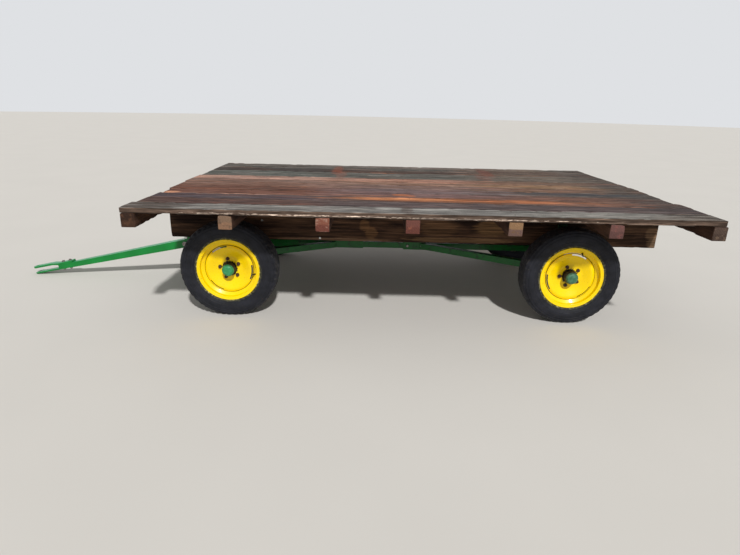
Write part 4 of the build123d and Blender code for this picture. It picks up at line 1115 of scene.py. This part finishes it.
# Bolts and nuts: name, node, a point in mm that it is driven from and its way, flats, height and washer in
# mm, finish. One that isn't on the middle line is given for the left side, and stands on both
BOLTS = [
    ("sill_rear", "long_sill_{}", (13, -900, 509), (0, 1, 0), 15, 5, 0, "zinc"),
    ("sill_front", "long_sill_{}", (-415, -900, 636), (0, 1, 0), 15, 5, 0, "zinc"),
    ("front_stake_low", "stakes_front", (-599, -900, 545), (0, 1, 0), 19, 8, 34, "rusty"),
    ("front_stake_high", "stakes_front", (-599, -900, 622), (0, 1, 0), 19, 8, 34, "rusty"),
    ("rear_stake_low", "stakes_rear", (1802, -900, 545), (0, 1, 0), 19, 8, 34, "rusty"),
    ("rear_stake_high", "stakes_rear", (1802, -900, 622), (0, 1, 0), 19, 8, 34, "rusty"),
    ("bracket", "steering_bracket", (-1168, -300, 368), (0, 1, 0), 19, 8, 26, "zinc"),
    ("clamp_front", "reach_clamp", (700, -300, 334), (0, 1, 0), 19, 8, 0, "steel"),
    ("clamp_rear", "reach_clamp", (820, -300, 334), (0, 1, 0), 19, 8, 0, "steel"),
    ("tie_rod_inner", "tie_rod_{}", (-1100.35, -60, 0), (0, 0, 1), 24, 10, 0, "steel"),
    ("tie_rod_outer", "tie_rod_{}", (-719.35, -660, 0), (0, 0, 1), 24, 10, 0, "steel"),
    ("strap_rear", "hitch_strap_upper", (-2215, 0, 400), (0, 0, -1), 19, 9, 32, "steel"),
    ("strap_front", "hitch_strap_upper", (-2275, 0, 400), (0, 0, -1), 19, 9, 32, "steel"),
    ("strap_nut_rear", "tongue_tube", (-2215, 0, 0), (0, 0, 1), 19, 10, 32, "steel"),
    ("strap_nut_front", "tongue_tube", (-2275, 0, 0), (0, 0, 1), 19, 10, 32, "steel"),
]

# Grease nipples: the pin that each stands on, and where in mm
NIPPLES = [
    ("kingpin_left", -599.35, -600),
    ("kingpin_right", -599.35, 600),
    ("pivot_pin", -980.35, 0),
]
# A nipple's outline, as (height, radius) in mm
NIPPLE_LINE = [(0, 0), (0, 5), (5, 5), (6, 3), (9, 3), (11, 3.6), (14, 2.2), (14, 0)]


class HAYWAGON_OT_bolts(bpy.types.Operator):
    """Fit the bolts, nuts and grease nipples of the sills, gear and tongue"""
    bl_idname = "haywagon.bolts"
    bl_label = "Bolts, nuts and grease nipples"

    def execute(self, context):
        for name, node, start, way, across, height, washer, key in BOLTS:
            for side, sign in (("left", 1), ("right", -1)) if start[1] else (("middle", 1),):
                side_node = node.format(side)
                side_way = (way[0], sign * way[1], way[2])
                place = on_surface(side_node, (start[0], sign * start[1], start[2]), side_way)
                bm = hex_bolt(place, [-part for part in side_way], across, height, washer, 11 * len(name))
                new_piece(f"bolt_{name}_{side}", bm, material_for(key), frame["nodes"][side_node]["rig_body"],
                          "bare_steel")
        for node, x, y in NIPPLES:
            nipple = turned(NIPPLE_LINE, 16, closed=False)
            bmesh.ops.rotate(nipple, matrix=Matrix.Rotation(radians(90), 3, "X"), verts=nipple.verts)
            bmesh.ops.translate(nipple, vec=on_surface(node, (x, y, 600), (0, 0, -1)), verts=nipple.verts)
            new_piece(f"grease_nipple_{node}", nipple, material_for("steel"), frame["nodes"][node]["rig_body"],
                      "bare_steel")
        return {"FINISHED"}


class HAYWAGON_OT_tyres(bpy.types.Operator):
    """Spin the four tyres with their sidewall rings, tread grooves and shoulder blocks"""
    bl_idname = "haywagon.tyres"
    bl_label = "Tyres"

    def execute(self, context):
        settings = context.scene.haywagon_wheels
        middle = (BEAD_TOP + TREAD_EDGE) / 2
        inner = [(TREAD_HALF - 11, TREAD_EDGE - 11), (TYRE_HALF - 13, 300), (TYRE_HALF - 11, middle),
                 (TYRE_HALF - 14, 255), (BEAD_HALF - 12, BEAD_TOP), (BEAD_HALF - 12, BEAD_BASE)]
        for wheel in WHEELS:
            wear = TREAD_LEFT[wheel.split("_")[0]]
            face = sidewall() + tread(settings.groove_depth / MM * wear)
            outline = face + [(-along, radius) for along, radius in reversed(face)]
            outline += [(-along, radius) for along, radius in reversed(inner)] + inner
            bm = turned(outline, settings.tread_blocks * len(ZIGZAG))
            cut_tread(bm, settings.tread_blocks, NOTCH_DEPTH * wear)
            new_piece(f"tyre_rubber_{wheel}", bm, material_for("tyre"), f"wheel_{wheel}", "tyre_rubber",
                      f"tyre_{wheel}", sharp=35, wheel=wheel)
        return {"FINISHED"}


class HAYWAGON_OT_rims(bpy.types.Operator):
    """Roll the rims and press their discs with slots, and add the valves"""
    bl_idname = "haywagon.rims"
    bl_label = "Rims"

    def execute(self, context):
        settings = context.scene.haywagon_wheels
        for wheel in WHEELS:
            rim = joined([rim_barrel(settings.wheel_steps), slotted_disc()])
            new_piece(f"rim_pressing_{wheel}", rim, material_for("rim"), f"wheel_{wheel}", "yellow_paint",
                      f"rim_{wheel}", sharp=32, wheel=wheel)
            new_piece(f"valve_stem_{wheel}", valve_stem(), material_for("iron"), f"wheel_{wheel}",
                      "tyre_rubber", wheel=wheel)
        return {"FINISHED"}


# Outlines of a hub and of its cap, as (distance outboard, radius) in mm
HUB_LINE = [(-45, 22.5), (74, 22.5), (74, 39), (71, 43), (56, 43), (54, 45.5), (47, 45.5), (45, 43), (15, 43),
            (15, 88), (3, 88), (3, 43), (-38, 43), (-45, 40)]
CAP_LINE = [(74, 0), (74, 41), (75.5, 42.2), (78, 42.2), (79, 39.4), (88, 38), (94, 31), (96, 17), (96, 0)]


class HAYWAGON_OT_hubs(bpy.types.Operator):
    """Turn the hubs and their caps, and fit the lug bolts"""
    bl_idname = "haywagon.hubs"
    bl_label = "Hubs, caps and lug bolts"

    def execute(self, context):
        settings = context.scene.haywagon_wheels
        steps = settings.wheel_steps // 2
        for wheel in WHEELS:
            hub = turned(HUB_LINE, steps, corners=[(1.2, [2, 3, 9, 10, 13])])
            new_piece(f"hub_casting_{wheel}", hub, material_for("iron"), f"wheel_{wheel}", "hub_paint",
                      f"hub_{wheel}", wheel=wheel)
            cap = turned(CAP_LINE, steps, closed=False, corners=[(2.0, [5, 6, 7])])
            end = "front_cap" if wheel.startswith("front") else "rear_cap"
            new_piece(f"hub_cap_pressing_{wheel}", cap, material_for(end), f"wheel_{wheel}", "cap_paint",
                      f"hub_cap_{wheel}", wheel=wheel, sharp=40)
            bolts = []
            for number in range(settings.lug_count):
                place = on_wheel(LUG_ANGLE + number * 360 / settings.lug_count, LUG_CIRCLE, 20)
                bolts.append(hex_bolt(place, (0, 1, 0), 21, 10, 26, number * 17))
            new_piece(f"lug_bolts_{wheel}", joined(bolts), material_for("rusty"), f"wheel_{wheel}",
                      "hub_paint", wheel=wheel)
        return {"FINISHED"}


class HAYWAGON_PT_panel(bpy.types.Panel):
    """The wagon's settings and its makers, in the order that they run"""
    bl_label = "Hay wagon"
    bl_idname = "HAYWAGON_PT_panel"
    bl_space_type = "VIEW_3D"
    bl_region_type = "UI"
    bl_category = "Hay wagon"

    def draw(self, context):
        scene = context.scene
        for group in (scene.haywagon_deck, scene.haywagon_wheels, scene.haywagon_stage):
            box = self.layout.box()
            for name in group.__annotations__:
                box.prop(group, name)
        for operator in OPERATORS:
            self.layout.operator(operator.bl_idname)


SETTINGS = [
    ("haywagon_deck", HayWagonDeckSettings),
    ("haywagon_wheels", HayWagonWheelSettings),
    ("haywagon_stage", HayWagonStageSettings),
]
OPERATORS = [HAYWAGON_OT_stage, HAYWAGON_OT_deck, HAYWAGON_OT_sills, HAYWAGON_OT_gear, HAYWAGON_OT_bolts,
             HAYWAGON_OT_tyres, HAYWAGON_OT_rims, HAYWAGON_OT_hubs]
CLASSES = [group for _, group in SETTINGS] + OPERATORS + [HAYWAGON_PT_panel]


def register():
    for kind in CLASSES:
        bpy.utils.register_class(kind)
    for name, group in SETTINGS:
        setattr(bpy.types.Scene, name, bpy.props.PointerProperty(type=group))


def unregister():
    for name, _ in SETTINGS:
        delattr(bpy.types.Scene, name)
    for kind in reversed(CLASSES):
        bpy.utils.unregister_class(kind)


def main():
    """Build the whole wagon and its stage."""
    register()
    bpy.ops.haywagon.stage()
    bpy.ops.haywagon.deck()
    bpy.ops.haywagon.sills()
    bpy.ops.haywagon.gear()
    bpy.ops.haywagon.bolts()
    bpy.ops.haywagon.tyres()
    bpy.ops.haywagon.rims()
    bpy.ops.haywagon.hubs()


if __name__ == "__main__":
    main()
